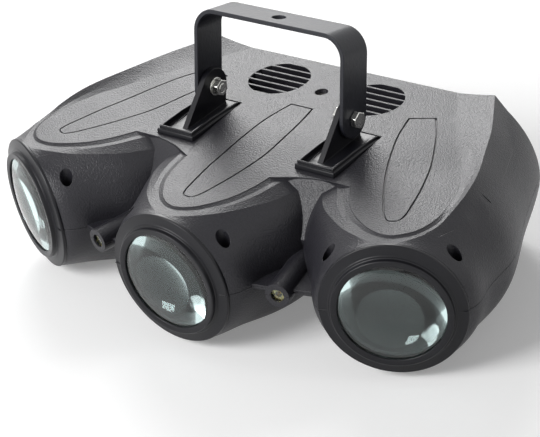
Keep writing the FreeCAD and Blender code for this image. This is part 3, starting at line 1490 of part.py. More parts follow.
# The rear panel and what sits in it. Its outer face lies against the rear wall's inner face.
PANEL_BACK = S.body_depth - S.rear_wall
PANEL_FRONT = PANEL_BACK - S.sheet_thick
BUTTON_SHARES = (-1.5, -0.5, 0.5, 1.5)


def button_x(share):
    return -S.display_x + S.button_pitch * share


def make_rear_panel():
    body = new_body()
    face = new_sketch(body, "XZ_Plane")
    half = S.window_half + S.panel_margin
    rise = S.window_rise + S.panel_margin
    draw_outline(face, ((-half, -rise), (half, -rise), (half, rise), (-half, rise)))
    pad(body, face, S.sheet_thick, flip=True)
    holes = new_sketch(body, "XZ_Plane")
    for share in BUTTON_SHARES:
        draw_circle(holes, button_x(share), -S.button_z, S.button_radius + S.leg_gap)
    for side in (-1, 1):
        draw_circle(holes, S.data_x * side, ZERO, S.data_radius + S.slip)
    pocket(body, holes, S.sheet_thick + S.overrun)
    frames = new_sketch(body, "XZ_Plane")
    frame_rect(frames, -S.display_x, S.display_z, S.display_half, S.display_rise)
    gap = S.slip
    frame_rect(frames, S.inlet_x, -S.inlet_z, S.inlet_half + gap, S.inlet_rise + gap)
    drawer_half = S.drawer_half + S.drawer_shell + gap
    drawer_rise = S.drawer_rise + S.drawer_shell + gap
    frame_rect(frames, S.inlet_x, S.drawer_z, drawer_half, drawer_rise)
    tab = S.latch_half + S.seat_gap
    frame_rect(frames, S.data_x, S.latch_z, tab, S.latch_rise + S.seat_gap)
    pocket(body, frames, S.sheet_thick + S.overrun)
    place(body, ZERO, PANEL_FRONT, ZERO)
    shift = doc.addObject("Part::Compound", "panel_place")
    shift.Links = [body]
    return shift


def frame_rect(sketch, x, z, half, rise):
    draw_outline(sketch, ((x - half, z - rise), (x + half, z - rise), (x + half, z + rise), (x - half, z + rise)))


def make_control_board():
    """The upright board behind the rear panel, with the digit block and the key switches."""
    y = PANEL_FRONT - S.control_gap - S.board_thick
    board = middle_box(-S.display_x, y, ZERO, S.control_half * 2, S.board_thick, S.control_rise * 2)
    front = y + S.board_thick
    digits = middle_box(-S.display_x, y, S.display_z, S.digits_half * 2,
                        S.board_thick + S.digits_thick, S.digits_rise * 2)
    parts = [board, digits]
    reach = S.control_gap - S.button_flange_thick - S.button_travel - S.seat_gap
    for share in BUTTON_SHARES:
        parts.append(middle_box(button_x(share), y, -S.button_z, S.switch_half * 2,
                                S.board_thick + reach, S.switch_half * 2))
    for across in (-1, 1):
        for up in (-1, 1):
            x = -S.display_x + (S.control_half - S.post_radius) * across
            z = (S.control_rise - S.post_radius) * up
            parts.append(rod(x, front - S.board_thick, z, "Y", S.post_radius / 2,
                             S.control_gap + S.board_thick))
    return fuse(*parts)


def make_button(share):
    """A menu button: a cap through the panel and a flange behind it."""
    x = button_x(share)
    start = PANEL_FRONT - S.button_flange_thick
    cap = rod(x, start, -S.button_z, "Y", S.button_radius,
              S.button_flange_thick + S.sheet_thick + S.button_proud)
    flange = rod(x, start, -S.button_z, "Y", S.button_flange, S.button_flange_thick)
    return fuse(cap, flange)


def make_inlet():
    """The mains inlet: the plug recess with its blades, and the shaft of the fuse drawer over it."""
    z = -S.inlet_z
    wide = S.inlet_half * 2
    high = S.inlet_rise * 2
    core = middle_box(S.inlet_x, PANEL_BACK - S.inlet_depth, z, wide, S.inlet_depth + S.socket_y, high)
    shaft_wide = (S.drawer_half + S.drawer_shell) * 2
    shaft_high = (S.drawer_rise + S.drawer_shell) * 2
    shaft = middle_box(S.inlet_x, PANEL_BACK - S.inlet_depth, S.drawer_z, shaft_wide,
                       S.inlet_depth + S.socket_y, shaft_high)
    low = -S.inlet_z - S.inlet_rise - S.inlet_flange
    high_edge = S.drawer_z + S.drawer_rise + S.drawer_shell + S.inlet_flange
    flange = box(S.inlet_x - S.inlet_half - S.inlet_flange, PANEL_BACK, low,
                 wide + S.inlet_flange * 2, S.socket_y, high_edge - low)
    room_start = PANEL_BACK + S.socket_y - S.inlet_room_depth
    room = middle_box(S.inlet_x, room_start, z, S.inlet_room_half * 2, S.inlet_room_depth + S.overrun,
                      S.inlet_room_rise * 2)
    drawer_start = PANEL_BACK + S.socket_y - S.drawer_depth
    slot = middle_box(S.inlet_x, drawer_start, S.drawer_z, (S.drawer_half + S.slip) * 2,
                      S.drawer_depth + S.overrun, (S.drawer_rise + S.slip) * 2)
    hollow = cut(fuse(core, shaft, flange), room, slot)
    blades = []
    for share, up in ((-1, 1), (1, 1), (0, -1)):
        x = S.inlet_x + S.contact_pitch * share
        height = z + S.contact_thick * up
        blades.append(middle_box(x, room_start - S.overrun, height, S.contact_thick,
                                 S.contact_length, S.blade_width))
    return fuse(hollow, *blades)


def make_fuse_drawer():
    start = PANEL_BACK + S.socket_y - S.drawer_depth + S.seat_gap
    drawer = middle_box(S.inlet_x, start, S.drawer_z, S.drawer_half * 2, S.drawer_depth - S.seat_gap,
                        S.drawer_rise * 2)
    cap = middle_box(S.inlet_x, PANEL_BACK + S.socket_y, S.drawer_z,
                     (S.drawer_half + S.drawer_shell / 2) * 2, S.groove_width,
                     (S.drawer_rise + S.drawer_shell / 2) * 2)
    tray = middle_box(S.inlet_x, start + S.drawer_shell, S.drawer_z + S.drawer_shell / 2,
                      (S.drawer_half - S.drawer_shell) * 2, S.drawer_depth - S.drawer_shell * 2,
                      S.drawer_rise * 2)
    return cut(fuse(drawer, cap), tray)


def make_data_socket(side, outgoing):
    """A round data socket: pins in the incoming one, a core with three holes in the outgoing one."""
    x = S.data_x * side
    flange = middle_box(x, PANEL_BACK, ZERO, S.data_half * 2, S.socket_y, S.data_rise * 2)
    barrel = rod(x, PANEL_BACK - S.data_depth, ZERO, "Y", S.data_radius, S.data_depth)
    room_start = PANEL_BACK + S.socket_y - S.data_room_depth
    room = rod(x, room_start, ZERO, "Y", S.data_room, S.data_room_depth + S.overrun)
    hollow = cut(fuse(flange, barrel), room)
    contacts = []
    for angle in (30.0, 150.0, 270.0):
        pin_x = x + S.data_pin_ring * math.cos(math.radians(angle))
        pin_z = S.data_pin_ring * math.sin(math.radians(angle))
        contacts.append(rod(pin_x, room_start - S.overrun, pin_z, "Y", S.data_pin_radius,
                            S.data_room_depth - S.overrun))
    if not outgoing:
        return fuse(hollow, *contacts)
    core = rod(x, room_start - S.overrun, ZERO, "Y", S.data_core, S.data_room_depth)
    tab_half = S.latch_half + S.slip
    tab_rise = S.latch_rise + S.slip
    slot = middle_box(x, PANEL_BACK - S.latch_depth, S.latch_z, tab_half * 2,
                      S.latch_depth + S.socket_y + S.overrun, tab_rise * 2)
    holes = []
    for index, contact in enumerate(contacts):
        bind(contact, "Height", S.data_room_depth + S.overrun * 2)
        holes.append(contact)
    return cut(fuse(hollow, core), slot, *holes)


def make_latch():
    x = S.data_x
    start = PANEL_BACK - S.latch_depth + S.latch_travel + S.seat_gap
    return middle_box(x, start, S.latch_z, S.latch_half * 2,
                      S.latch_depth - S.latch_travel - S.seat_gap + S.socket_y + S.latch_proud,
                      S.latch_rise * 2)


piece("rear_panel", make_rear_panel())
piece("control_board", make_control_board())
window = middle_box(-S.display_x, PANEL_FRONT, S.display_z, (S.display_half - S.slip) * 2,
                    S.display_thick, (S.display_rise - S.slip) * 2)
piece("display_window", window)
for index, share in enumerate(BUTTON_SHARES, start=1):
    piece("menu_button_%d" % index, make_button(share))
piece("mains_inlet", make_inlet())
piece("fuse_drawer", make_fuse_drawer())
piece("data_socket_in", make_data_socket(-1, False))
piece("data_socket_out", make_data_socket(1, True))
piece("data_latch", make_latch())


doc.recompute()
for thing in doc.Objects:
    if "Invalid" in thing.State or "Error" in thing.State:
        raise ValueError("%s (%s) is not built: %s" % (thing.Name, thing.Label, thing.State))
for node, thing in PIECES:
    shape = thing.Shape
    if shape.isNull() or not shape.isValid() or not shape.Solids:
        raise ValueError(node + " has no valid solid")
os.makedirs("parts", exist_ok=True)
for node, thing in PIECES:
    thing.Shape.exportStep(os.path.join("parts", node + ".step"))
    box_of = thing.Shape.BoundBox
    print("%-24s %d solid(s)  X %.1f..%.1f  Y %.1f..%.1f  Z %.1f..%.1f" % (
        node, len(thing.Shape.Solids), box_of.XMin, box_of.XMax, box_of.YMin, box_of.YMax,
        box_of.ZMin, box_of.ZMax))
print("%d nodes" % len(PIECES))
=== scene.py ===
# %% [markdown]
# # A three-lens stage light, dressed for a studio picture
#
# The solids of the light come from a CAD model: two moulded shells, three lens heads, a strap
# bracket on two shoes. This lesson loads them, then gives each one the finish of the real thing and
# adds the small shapes that a quick CAD model leaves plain.
#
# We start with the frame. Every piece we make later rides on one of its bodies.

import bmesh
import bpy
import math
from mathutils import Matrix, Vector


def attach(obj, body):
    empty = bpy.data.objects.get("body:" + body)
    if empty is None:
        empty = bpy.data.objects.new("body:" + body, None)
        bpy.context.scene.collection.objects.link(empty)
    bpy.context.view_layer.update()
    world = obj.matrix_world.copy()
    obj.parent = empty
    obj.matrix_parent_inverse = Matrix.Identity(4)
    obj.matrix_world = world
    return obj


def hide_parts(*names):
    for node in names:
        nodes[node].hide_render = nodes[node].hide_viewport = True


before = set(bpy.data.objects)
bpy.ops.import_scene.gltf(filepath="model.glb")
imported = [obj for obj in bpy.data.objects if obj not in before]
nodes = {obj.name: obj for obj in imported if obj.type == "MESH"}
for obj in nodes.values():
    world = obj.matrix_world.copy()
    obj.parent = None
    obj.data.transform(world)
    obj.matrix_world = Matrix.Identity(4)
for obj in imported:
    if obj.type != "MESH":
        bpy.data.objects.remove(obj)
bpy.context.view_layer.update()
scene = bpy.context.scene

# %% [markdown]
# ## Sizes that several pieces share
#
# The three head axes meet in one point behind the light, 25 degrees apart. One function puts a
# piece that was drawn for the middle head onto any of them: turn is -1 on the left, 0 in the
# middle and 1 on the right, and the small beam apertures sit halfway between.

# %% The fan of heads
MM = 0.001
FAN_RADIUS = 351 * MM
FAN_ANGLE = math.radians(25)
AXIS_HEIGHT = 51 * MM
RING_Y = -103.7 * MM
HOUSING = "housing"


def head_matrix(turn):
    """Place of a head: X across it, Y backwards along its axis, Z up, origin at the lens ring."""
    angle = FAN_ANGLE * turn
    spot = Vector((
        FAN_RADIUS * math.sin(angle),
        RING_Y + FAN_RADIUS * (1 - math.cos(angle)),
        AXIS_HEIGHT,
    ))
    return Matrix.Translation(spot) @ Matrix.Rotation(angle, 4, "Z")


HEADS = {"left": -1, "centre": 0, "right": 1}
print("right lens ring at", [round(v * 1000, 1) for v in head_matrix(1).translation])

# %% [markdown]
# ## Writing node maths as plain expressions
#
# A material is a graph of nodes. Placing Math nodes by hand is slow to read, so a small class
# wraps one socket and lets + and * add the node for us, with a number on either side.

# %% One socket with arithmetic
def join(tree, value, socket):
    """Feed a socket with a number, a colour or another socket."""
    if isinstance(value, Signal):
        tree.links.new(value.socket, socket)
    elif hasattr(value, "__len__") and hasattr(socket.default_value, "__len__"):
        size = len(socket.default_value)
        socket.default_value = (tuple(value) + (1.0,))[:size]
    else:
        socket.default_value = value


class Signal:
    """The output of a node. Arithmetic on it adds Math nodes."""

    def __init__(self, tree, socket):
        self.tree = tree
        self.socket = socket

    def maths(self, operation, first, second):
        node = self.tree.nodes.new("ShaderNodeMath")
        node.operation = operation
        join(self.tree, first, node.inputs[0])
        join(self.tree, second, node.inputs[1])
        return Signal(self.tree, node.outputs[0])

    def __add__(self, other):
        return self.maths("ADD", self, other)

    def __radd__(self, other):
        return self.maths("ADD", other, self)

    def __mul__(self, other):
        return self.maths("MULTIPLY", self, other)

    def __rmul__(self, other):
        return self.maths("MULTIPLY", other, self)

    def clamp(self):
        return self.maths("MINIMUM", self.maths("MAXIMUM", self, 0.0), 1.0)


# %% A graph, and a finish made with one
class Graph:
    """A node tree and one method that adds any node to it."""

    family = "ShaderNode"

    def __init__(self, tree):
        self.tree = tree

    def add(self, kind, settings=None, output=0, **values):
        """Add a node: its settings first, then the values or links of its inputs."""
        node = self.tree.nodes.new(kind if "Node" in kind else self.family + kind)
        for name, value in (settings or {}).items():
            setattr(node, name, value)
        for name, value in values.items():
            key = int(name[1:]) if name[0] == "i" and name[1:].isdigit() else name.replace("_", " ")
            join(self.tree, value, node.inputs[key])
        return Signal(self.tree, node.outputs[output])


class Finish(Graph):
    """A material with a Principled shader, and the few nodes that most finishes need."""

    def __init__(self, name, **values):
        self.material = bpy.data.materials.new(name)
        self.material.use_nodes = True
        super().__init__(self.material.node_tree)
        self.shader = self.tree.nodes["Principled BSDF"]
        self.set(**values)

    def set(self, **values):
        for name, value in values.items():
            join(self.tree, value, self.shader.inputs[name.replace("_", " ")])
        return self

    def place(self):
        return self.add("TexCoord", output="Object")

    def noise(self, scale, detail=2.0, roughness=0.5, where=None):
        where = where or self.place()
        return self.add("TexNoise", Vector=where, Scale=scale, Detail=detail, Roughness=roughness)

    def mix(self, share, first, second):
        node = self.tree.nodes.new("ShaderNodeMix")
        node.data_type = "RGBA"
        join(self.tree, share, node.inputs[0])
        join(self.tree, first, node.inputs[6])
        join(self.tree, second, node.inputs[7])
        return Signal(self.tree, node.outputs[2])

    def bump(self, height, strength, distance, normal=None):
        values = {"Height": height, "Strength": strength, "Distance": distance}
        if normal is not None:
            values["Normal"] = normal
        return self.add("Bump", **values)

    def round_edges(self, radius):
        """A soft edge in the light only, where an edge is too fine to model."""
        return self.add("Bevel", {"samples": 4}, Radius=radius)


print("node helpers ready")

# %% [markdown]
# ## The moulded housing plastic
#
# The shells are ABS with a spark-eroded grain: charcoal, never quite black, with a soft broad
# sheen. The grain is fine, under a millimetre, so it is a bump from noise and not geometry. A
# second, slow noise makes the sheen a little uneven, as on a handled housing. Every moulded edge
# is a touch round, and the Bevel node gives these edges their thin line of light.

# %% Grained charcoal plastic
def grained_plastic():
    finish = Finish("grained charcoal plastic", Specular_IOR_Level=0.36)
    grain = finish.noise(1000, 1.0, 0.6)
    patches = finish.noise(18, 2.0, 0.5)
    tone = finish.mix(grain, (0.008, 0.008, 0.011), (0.026, 0.025, 0.031))
    finish.set(Base_Color=tone, Roughness=0.28 + 0.05 * patches + 0.14 * grain)
    finish.set(Normal=finish.bump(grain, 0.7, 0.00050, finish.round_edges(0.0006)))
    return finish.material


def smooth_black_plastic():
    """The collars and shoes come from a polished mould: darker, with a tighter sheen."""
    finish = Finish("smooth black plastic", Specular_IOR_Level=0.30)
    fine = finish.noise(900, 2.0, 0.5)
    slow = finish.noise(30, 2.0, 0.5)
    finish.set(Base_Color=finish.mix(slow, (0.004, 0.004, 0.006), (0.009, 0.009, 0.012)))
    finish.set(Roughness=0.27 + 0.08 * slow + 0.05 * fine)
    finish.set(Normal=finish.bump(fine, 0.15, 0.0001, finish.round_edges(0.0004)))
    return finish.material


PLASTIC = grained_plastic()
COLLAR = smooth_black_plastic()
print("plastics:", PLASTIC.name, "and", COLLAR.name)

# %% [markdown]
# ## Powder coat, zinc, aluminium and the rest
#
# The bracket is steel strap with a satin black powder coat, which has a slow orange-peel ripple.
# The bolts are bright zinc, a metal with faint streaks and a few dull spots. The inside of each
# head is matt black so that stray light dies there.

# %% Powder coat and matt black
def powder_coat():
    finish = Finish("satin black powder coat", Specular_IOR_Level=0.38)
    peel = finish.noise(520, 2.0, 0.45)
    dust = finish.noise(60, 3.0, 0.6)
    finish.set(Base_Color=finish.mix(dust, (0.009, 0.010, 0.014), (0.018, 0.019, 0.026)))
    finish.set(Roughness=0.33 + 0.10 * dust)
    finish.set(Normal=finish.bump(peel, 0.25, 0.0004))
    return finish.material


def matt_black():
    finish = Finish("matt black lining", Roughness=0.7, Specular_IOR_Level=0.3)
    fine = finish.noise(700, 2.0, 0.5)
    finish.set(Base_Color=finish.mix(fine, (0.006, 0.006, 0.007), (0.014, 0.014, 0.015)))
    return finish.material


POWDER = powder_coat()
LINING = matt_black()
print("coats:", POWDER.name, "and", LINING.name)


# %% Metals
def plated_steel(name, tone, dull, rough):
    """Bright plating: a clean metal with soft blotches and fine wiping streaks."""
    finish = Finish(name, Metallic=1.0)
    blotch = finish.noise(240, 3.0, 0.6)
    place = finish.add("Mapping", Vector=finish.place(), Scale=(1.0, 1.0, 14.0))
    streak = finish.noise(900, 2.0, 0.5, place)
    finish.set(Base_Color=finish.mix(blotch, dull, tone))
    finish.set(Roughness=rough + 0.12 * blotch + 0.06 * streak)
    finish.set(Normal=finish.bump(streak, 0.08, 0.0001))
    return finish.material


ZINC = plated_steel("bright zinc plating", (0.83, 0.83, 0.80), (0.58, 0.58, 0.55), 0.16)
SHEET = plated_steel("zinc coated sheet", (0.60, 0.61, 0.62), (0.42, 0.43, 0.45), 0.34)
NICKEL = plated_steel("nickel die casting", (0.62, 0.61, 0.58), (0.45, 0.44, 0.42), 0.26)
ALUMINIUM = plated_steel("extruded aluminium", (0.78, 0.79, 0.80), (0.62, 0.63, 0.64), 0.30)
BLACK_SCREW = plated_steel("blackened steel", (0.05, 0.05, 0.055), (0.02, 0.02, 0.022), 0.32)
BRASS = plated_steel("turned brass", (0.78, 0.60, 0.28), (0.55, 0.40, 0.17), 0.24)
print("metals made: 6")


# %% Rubber, laminate, displays and glass
def rubber():
    finish = Finish("moulded rubber", Roughness=0.75, Specular_IOR_Level=0.35)
    fine = finish.noise(500, 3.0, 0.6)
    finish.set(Base_Color=finish.mix(fine, (0.012, 0.012, 0.012), (0.030, 0.030, 0.030)))
    finish.set(Normal=finish.bump(fine, 0.3, 0.0003))
    return finish.material


def laminate():
    finish = Finish("green circuit laminate", Roughness=0.35)
    tracks = finish.add("TexBrick", Vector=finish.place(), Scale=260.0)
    finish.set(Base_Color=finish.mix(tracks, (0.010, 0.075, 0.030), (0.025, 0.150, 0.060)))
    return finish.material


def display_cover():
    finish = Finish("dark red display cover", Roughness=0.08)
    haze = finish.noise(90, 2.0, 0.5)
    finish.set(Base_Color=finish.mix(haze, (0.030, 0.002, 0.002), (0.045, 0.004, 0.004)))
    return finish.material


def optical_glass(name, tint):
    finish = Finish(name, Base_Color=tint, Roughness=0.0, Transmission_Weight=1.0, IOR=1.52,
                    Specular_IOR_Level=0.32)
    return finish.material


RUBBER = rubber()
BOARD = laminate()
DISPLAY = display_cover()
GLASS = optical_glass("lens glass", (0.78, 0.965, 0.955))
print("soft and clear finishes:", RUBBER.name, BOARD.name, DISPLAY.name, GLASS.name)

# %% [markdown]
# ## Giving each solid its finish
#
# A solid that has the right shape stays, and only its material slot changes. The names of the
# solids say what they are, so the first matching word picks the finish. The second word is the
# slot of the record that the finish belongs to.

# %% Finishes by name
FINISHES = (
    ("upper_shell", PLASTIC, "housing_plastic"), ("lower_shell", PLASTIC, "housing_plastic"),
    ("bezel", COLLAR, "collar_plastic"), ("condenser_lens", GLASS, "lens_glass"),
    ("lens_gaskets", RUBBER, "seal_rubber"), ("lens", GLASS, "lens_glass"),
    ("inner_tube", LINING, "inner_plastic"), ("pattern_wheel", LINING, "wheel_aluminium"),
    ("wheel_motor", SHEET, "motor_can"), ("optics_frame", SHEET, "sheet_steel"),
    ("light_board", BOARD, "board_laminate"), ("heat_sink", ALUMINIUM, "heat_aluminium"),
    ("aperture_windows", GLASS, "lens_glass"), ("beam_modules", BRASS, "module_brass"),
    ("shell_screws", BLACK_SCREW, "black_steel_screw"), ("rubber_feet", RUBBER, "foot_rubber"),
    ("bracket_shoe", COLLAR, "shoe_plastic"), ("bracket", POWDER, "black_steel"),
    ("tilt_", ZINC, "zinc_steel"), ("fan_", LINING, "inner_plastic"),
    ("microphone", NICKEL, "socket_metal"), ("chassis_plate", SHEET, "sheet_steel"),
    ("board", BOARD, "board_laminate"), ("rear_panel", POWDER, "black_steel"),
    ("display_window", DISPLAY, "display_cover"), ("menu_button", COLLAR, "button_plastic"),
    ("mains_inlet", COLLAR, "socket_plastic"), ("fuse_drawer", COLLAR, "socket_plastic"),
    ("data_latch", NICKEL, "latch_metal"), ("data_socket", NICKEL, "socket_metal"),
)


def finish_of(name):
    return next((material, slot) for word, material, slot in FINISHES if word in name)


for name, solid in nodes.items():
    solid.data.materials.clear()
    solid.data.materials.append(finish_of(name)[0])
print("finishes given to", len(nodes), "solids")

# %% [markdown]
# ## The two shells as one skin each
#
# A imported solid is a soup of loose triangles. Each shell is copied and its doubles are merged, so
# that light runs smoothly over the barrels, while every edge that turns by more than ten degrees
# or so stays crisp: the lips round the roof are that fine. The solid has a small nick in each flank
# that the real housing hasn't, and the skin is relaxed over it.

# %% Merged copies of the shells
LIP_ANGLE = 10.5
TOUCHING = 1e-6
NICK = (167.6, -3.0, 88.9)
NICK_REACH = 8.2 * MM
FLANK_OUTWARD = (0.76, -0.1, 0.64)
RELAX_ROUNDS = 80


def kept_mesh(work, name):
    """The working mesh as a mesh of its own."""
    mesh = bpy.data.meshes.new(name)
    work.to_mesh(mesh)
    work.free()
    return mesh


def fair_flank(work):
    """Let the skin relax over the small nick in each flank of the upper shell."""
    for side in (-1, 1):
        nick = Vector((side * NICK[0] * MM, NICK[1] * MM, NICK[2] * MM))
        outward = Vector((side * FLANK_OUTWARD[0], FLANK_OUTWARD[1], FLANK_OUTWARD[2]))
        near = [v for v in work.verts
                if (v.co - nick).length < NICK_REACH and v.normal.dot(outward) > 0.0]
        for _ in range(RELAX_ROUNDS):
            bmesh.ops.smooth_vert(work, verts=near, factor=0.5, use_axis_x=True, use_axis_y=True,
                                  use_axis_z=True)
        print("points relaxed on a flank:", len(near))


def merged_mesh(name, flat=None):
    """The triangles of a solid joined into one skin, with flat areas as single faces if asked."""
    work = bmesh.new()
    work.from_mesh(nodes[name].data)
    bmesh.ops.remove_doubles(work, verts=work.verts, dist=TOUCHING)
    if name == "upper_shell":
        fair_flank(work)
    if flat:
        bmesh.ops.dissolve_limit(work, angle_limit=math.radians(flat), verts=work.verts,
                                 edges=work.edges)
    mesh = kept_mesh(work, name + "_skin")
    for extra in [a for a in mesh.attributes if a.name == "custom_normal"]:
        mesh.attributes.remove(extra)
    return mesh


def stand_in(name, mesh, replaced, body=HOUSING, sharp=30):
    """Show a mesh in place of a solid, on the body that the solid rides on."""
    material, slot = finish_of(replaced)
    mesh.shade_smooth()
    mesh.set_sharp_from_angle(angle=math.radians(sharp))
    mesh.materials.clear()
    mesh.materials.append(material)
    made = bpy.data.objects.new(name, mesh)
    scene.collection.objects.link(made)
    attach(made, body)
    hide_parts(replaced)
    return made


for name in ("upper_shell", "lower_shell"):
    skin = stand_in(name + "_skin", merged_mesh(name), name, sharp=LIP_ANGLE)
    weigh = skin.modifiers.new("even light", "WEIGHTED_NORMAL")
    weigh.keep_sharp = True
    weigh.weight = 80
print("shells merged: 2")

# %% [markdown]
# ## Turned pieces
#
# Lenses and collars are round about the head axis, so each is drawn as an outline of radius and
# distance and turned once round. The corners of the outline get a small curve first, because no
# moulded edge is perfectly sharp, and that curve is what catches the light.

# %% Turning an outline
def softened(points, radius):
    """The outline with a short curve in place of each corner off the axis."""
    result = []
    for index, spot in enumerate(points):
        corner = Vector(spot)
        if corner.x < MM:
            result.append(tuple(corner))
            continue
        before = Vector(points[index - 1]) - corner
        after = Vector(points[(index + 1) % len(points)]) - corner
        reach = min(radius, before.length * 0.4, after.length * 0.4)
        start = corner + before.normalized() * reach
        end = corner + after.normalized() * reach
        result += [tuple(start), tuple((start + end) / 4 + corner / 2), tuple(end)]
    return result


def turned_mesh(name, outline, steps=144):
    """A closed skin of revolution about the Y axis, from radius and distance pairs."""
    work = bmesh.new()
    rows = []
    for step in range(steps):
        angle = math.tau * step / steps
        rows.append([work.verts.new((r * math.cos(angle), d, r * math.sin(angle)))
                     for r, d in outline])
    count = len(outline)
    for step in range(steps):
        one, two = rows[step], rows[(step + 1) % steps]
        for k in range(count):
            ring = [one[k], one[(k + 1) % count], two[(k + 1) % count], two[k]]
            if outline[k][0] < 1e-7 and outline[(k + 1) % count][0] < 1e-7:
                continue
            work.faces.new(ring)
    bmesh.ops.remove_doubles(work, verts=work.verts, dist=TOUCHING)
    bmesh.ops.recalc_face_normals(work, faces=work.faces)
    return kept_mesh(work, name)


def arc_points(rim, height, start, way, count):
    """Outline of a spherical cap from the rim to the axis; way is -1 to bulge to the front."""
    ball = (rim * rim + height * height) / (2 * height)
    points = []
    for step in range(count + 1):
        r = rim * (1 - step / count)
        rise = math.sqrt(ball * ball - r * r) - (ball - height)
        points.append((r, start + way * rise))
    return points


print("turning helpers ready")

# %% [markdown]
# ## The front lenses
#
# Each lens is a thick biconvex condenser in coated glass. The CAD solid has only the crowned
# front; the real look comes from the strong curve of the back, which works as a hollow mirror and
# shows soft panels and bright sickles at the edge. So the glass is turned again with both curves,
# in its own place behind the ring.

# %% Biconvex lenses
LENS_RIM = 34.6 * MM
LENS_EDGE = 2.0 * MM
LENS_BACK = 8.5 * MM
FRONT_BULGE = 5.6 * MM
BACK_RIM = 31.8 * MM
BACK_BULGE = 8.0 * MM
CAP_STEPS = 22


def lens_outline():
    front = arc_points(LENS_RIM, FRONT_BULGE, LENS_EDGE, -1, CAP_STEPS)
    back = arc_points(BACK_RIM, BACK_BULGE, LENS_BACK, 1, CAP_STEPS)
    return front + back[::-1] + [(LENS_RIM, LENS_BACK)]


for word, turn in HEADS.items():
    glass = turned_mesh("front_lens_" + word, lens_outline())
    glass.transform(head_matrix(turn))
    stand_in("front_lens_" + word, glass, "lens_" + word, sharp=25)
print("lenses turned:", len(HEADS))

# %% [markdown]
# ## The collars
#
# A collar is one smooth moulding: a ring round the glass, a thin step, a shallow dish out to the
# rim. The mould closes at the height of the seam, which leaves a fine line across the dish on both
# sides. The line is modelled as a hairline rib, thinner than a sheet of card.

# %% Collars with their steps
COLLAR_OUTLINE = (
    (33.1, 0.5), (36.9, 0.0), (37.4, 0.5), (37.4, 2.9), (38.0, 3.4), (38.9, 3.4), (39.3, 3.8),
    (44.7, 4.7), (45.1, 4.7), (45.6, 5.3), (45.6, 7.0), (41.4, 7.0), (41.4, 12.4), (34.9, 12.4),
    (34.9, 1.5), (33.1, 1.5),
)
SEAM_RIB = 0.35 * MM
RIB_DEPTH = 0.9
CORNER = 0.35 * MM


def seam_ribs(mesh):
    """Two hairline ribs across the dish, sunk most of their depth into it."""
    work = bmesh.new()
    work.from_mesh(mesh)
    for side in (-1, 1):
        for low, high, front in ((39.4, 45.2, 3.9), (33.6, 37.0, 0.2)):
            middle = side * (low + high) / 2 * MM
            size = Matrix.Diagonal(((high - low) * MM, RIB_DEPTH * MM, SEAM_RIB, 1.0))
            spot = Matrix.Translation((middle, (front + RIB_DEPTH / 2) * MM, 0.0))
            bmesh.ops.create_cube(work, size=1.0, matrix=spot @ size)
    work.to_mesh(mesh)
    work.free()


for word, turn in HEADS.items():
    outline = softened([(r * MM, d * MM) for r, d in COLLAR_OUTLINE], CORNER)
    collar = turned_mesh("collar_" + word, outline, 160)
    seam_ribs(collar)
    collar.transform(head_matrix(turn))
    stand_in("collar_" + word, collar, "bezel_" + word, sharp=50)
print("collars turned:", len(HEADS))

# %% [markdown]
# ## Soft edges for cut and folded pieces
#
# The bracket, the bolts, the feet and the parts of the rear panel have the right shape, but their
# edges are as sharp as a drawing. A joined copy of the solid takes a Bevel modifier: its loose
# triangles are merged, flat areas become single faces, and only edges above 30 degrees are
# rounded.

# %% Joined copies with a bevel
def round_off(piece, width, angle):
    """Round every edge that turns by more than an angle in degrees."""
    bevel = piece.modifiers.new("soft edges", "BEVEL")
    bevel.width = width
    bevel.segments = 2
    bevel.limit_method = "ANGLE"
    bevel.angle_limit = math.radians(angle)
    bevel.use_clamp_overlap = False


SOFT_EDGES = (
    ("bracket", 0.45, "bracket"), ("tilt_bolts", 0.35, HOUSING), ("tilt_nuts", 0.3, HOUSING),
    ("tilt_washers", 0.25, HOUSING), ("rubber_feet", 0.4, HOUSING), ("microphone", 0.2, HOUSING),
    ("rear_panel", 0.2, HOUSING), ("display_window", 0.15, HOUSING), ("fan_frames", 0.2, HOUSING),
    ("mains_inlet", 0.25, HOUSING), ("fuse_drawer", 0.2, "fuse_drawer"),
    ("data_socket_in", 0.25, HOUSING), ("data_socket_out", 0.25, HOUSING),
    ("data_latch", 0.15, "data_latch"), ("menu_button_1", 0.3, "menu_button_1"),
    ("menu_button_2", 0.3, "menu_button_2"), ("menu_button_3", 0.3, "menu_button_3"),
    ("menu_button_4", 0.3, "menu_button_4"),
)
for name, width, body in SOFT_EDGES:
    joined = stand_in(name + "_soft", merged_mesh(name, flat=1), name, body=body, sharp=35)
    round_off(joined, width * MM, 30)
print("pieces with soft edges:", len(SOFT_EDGES))

# %% [markdown]
# ## The bracket shoes
#
# A shoe is a long moulded boat. Two rounded bars cross its front. From them two thin rails run
# back, bowed outwards and sinking towards pointed tails, and between the rails the floor carries a
# pair of curved ridges. A triangular ear with a flanged front edge holds the bolt. The boat is
# swept in cross sections: each section is a row of heights across the shoe, and the rows change
# along it.

# %% Sections of a shoe
SHOE_X = 56.8 * MM
SHOE_FRONT = 89.5 * MM
SHOE_LENGTH = 52.5 * MM
SHOE_HALF = 15.2 * MM
SHOE_BASE = 44.05 * MM
SHOE_FLOOR = 46.5 * MM
RAIL_WIDTH = 1.7 * MM


def blend_of(table, share):
    """Straight blend in a table of (share, value) pairs."""
    for (a, low), (b, high) in zip(table, table[1:]):
        if share <= b:
            return low + (high - low) * (share - a) / (b - a)
    return table[-1][1]


RAIL_TOP = ((0.0, 49.6), (0.15, 49.9), (0.45, 50.0), (0.75, 49.1), (0.93, 47.9), (1.0, 46.9))
HALF_WIDTH = ((0.0, 0.965), (0.05, 0.99), (0.5, 1.0), (0.85, 0.985), (1.0, 0.93))


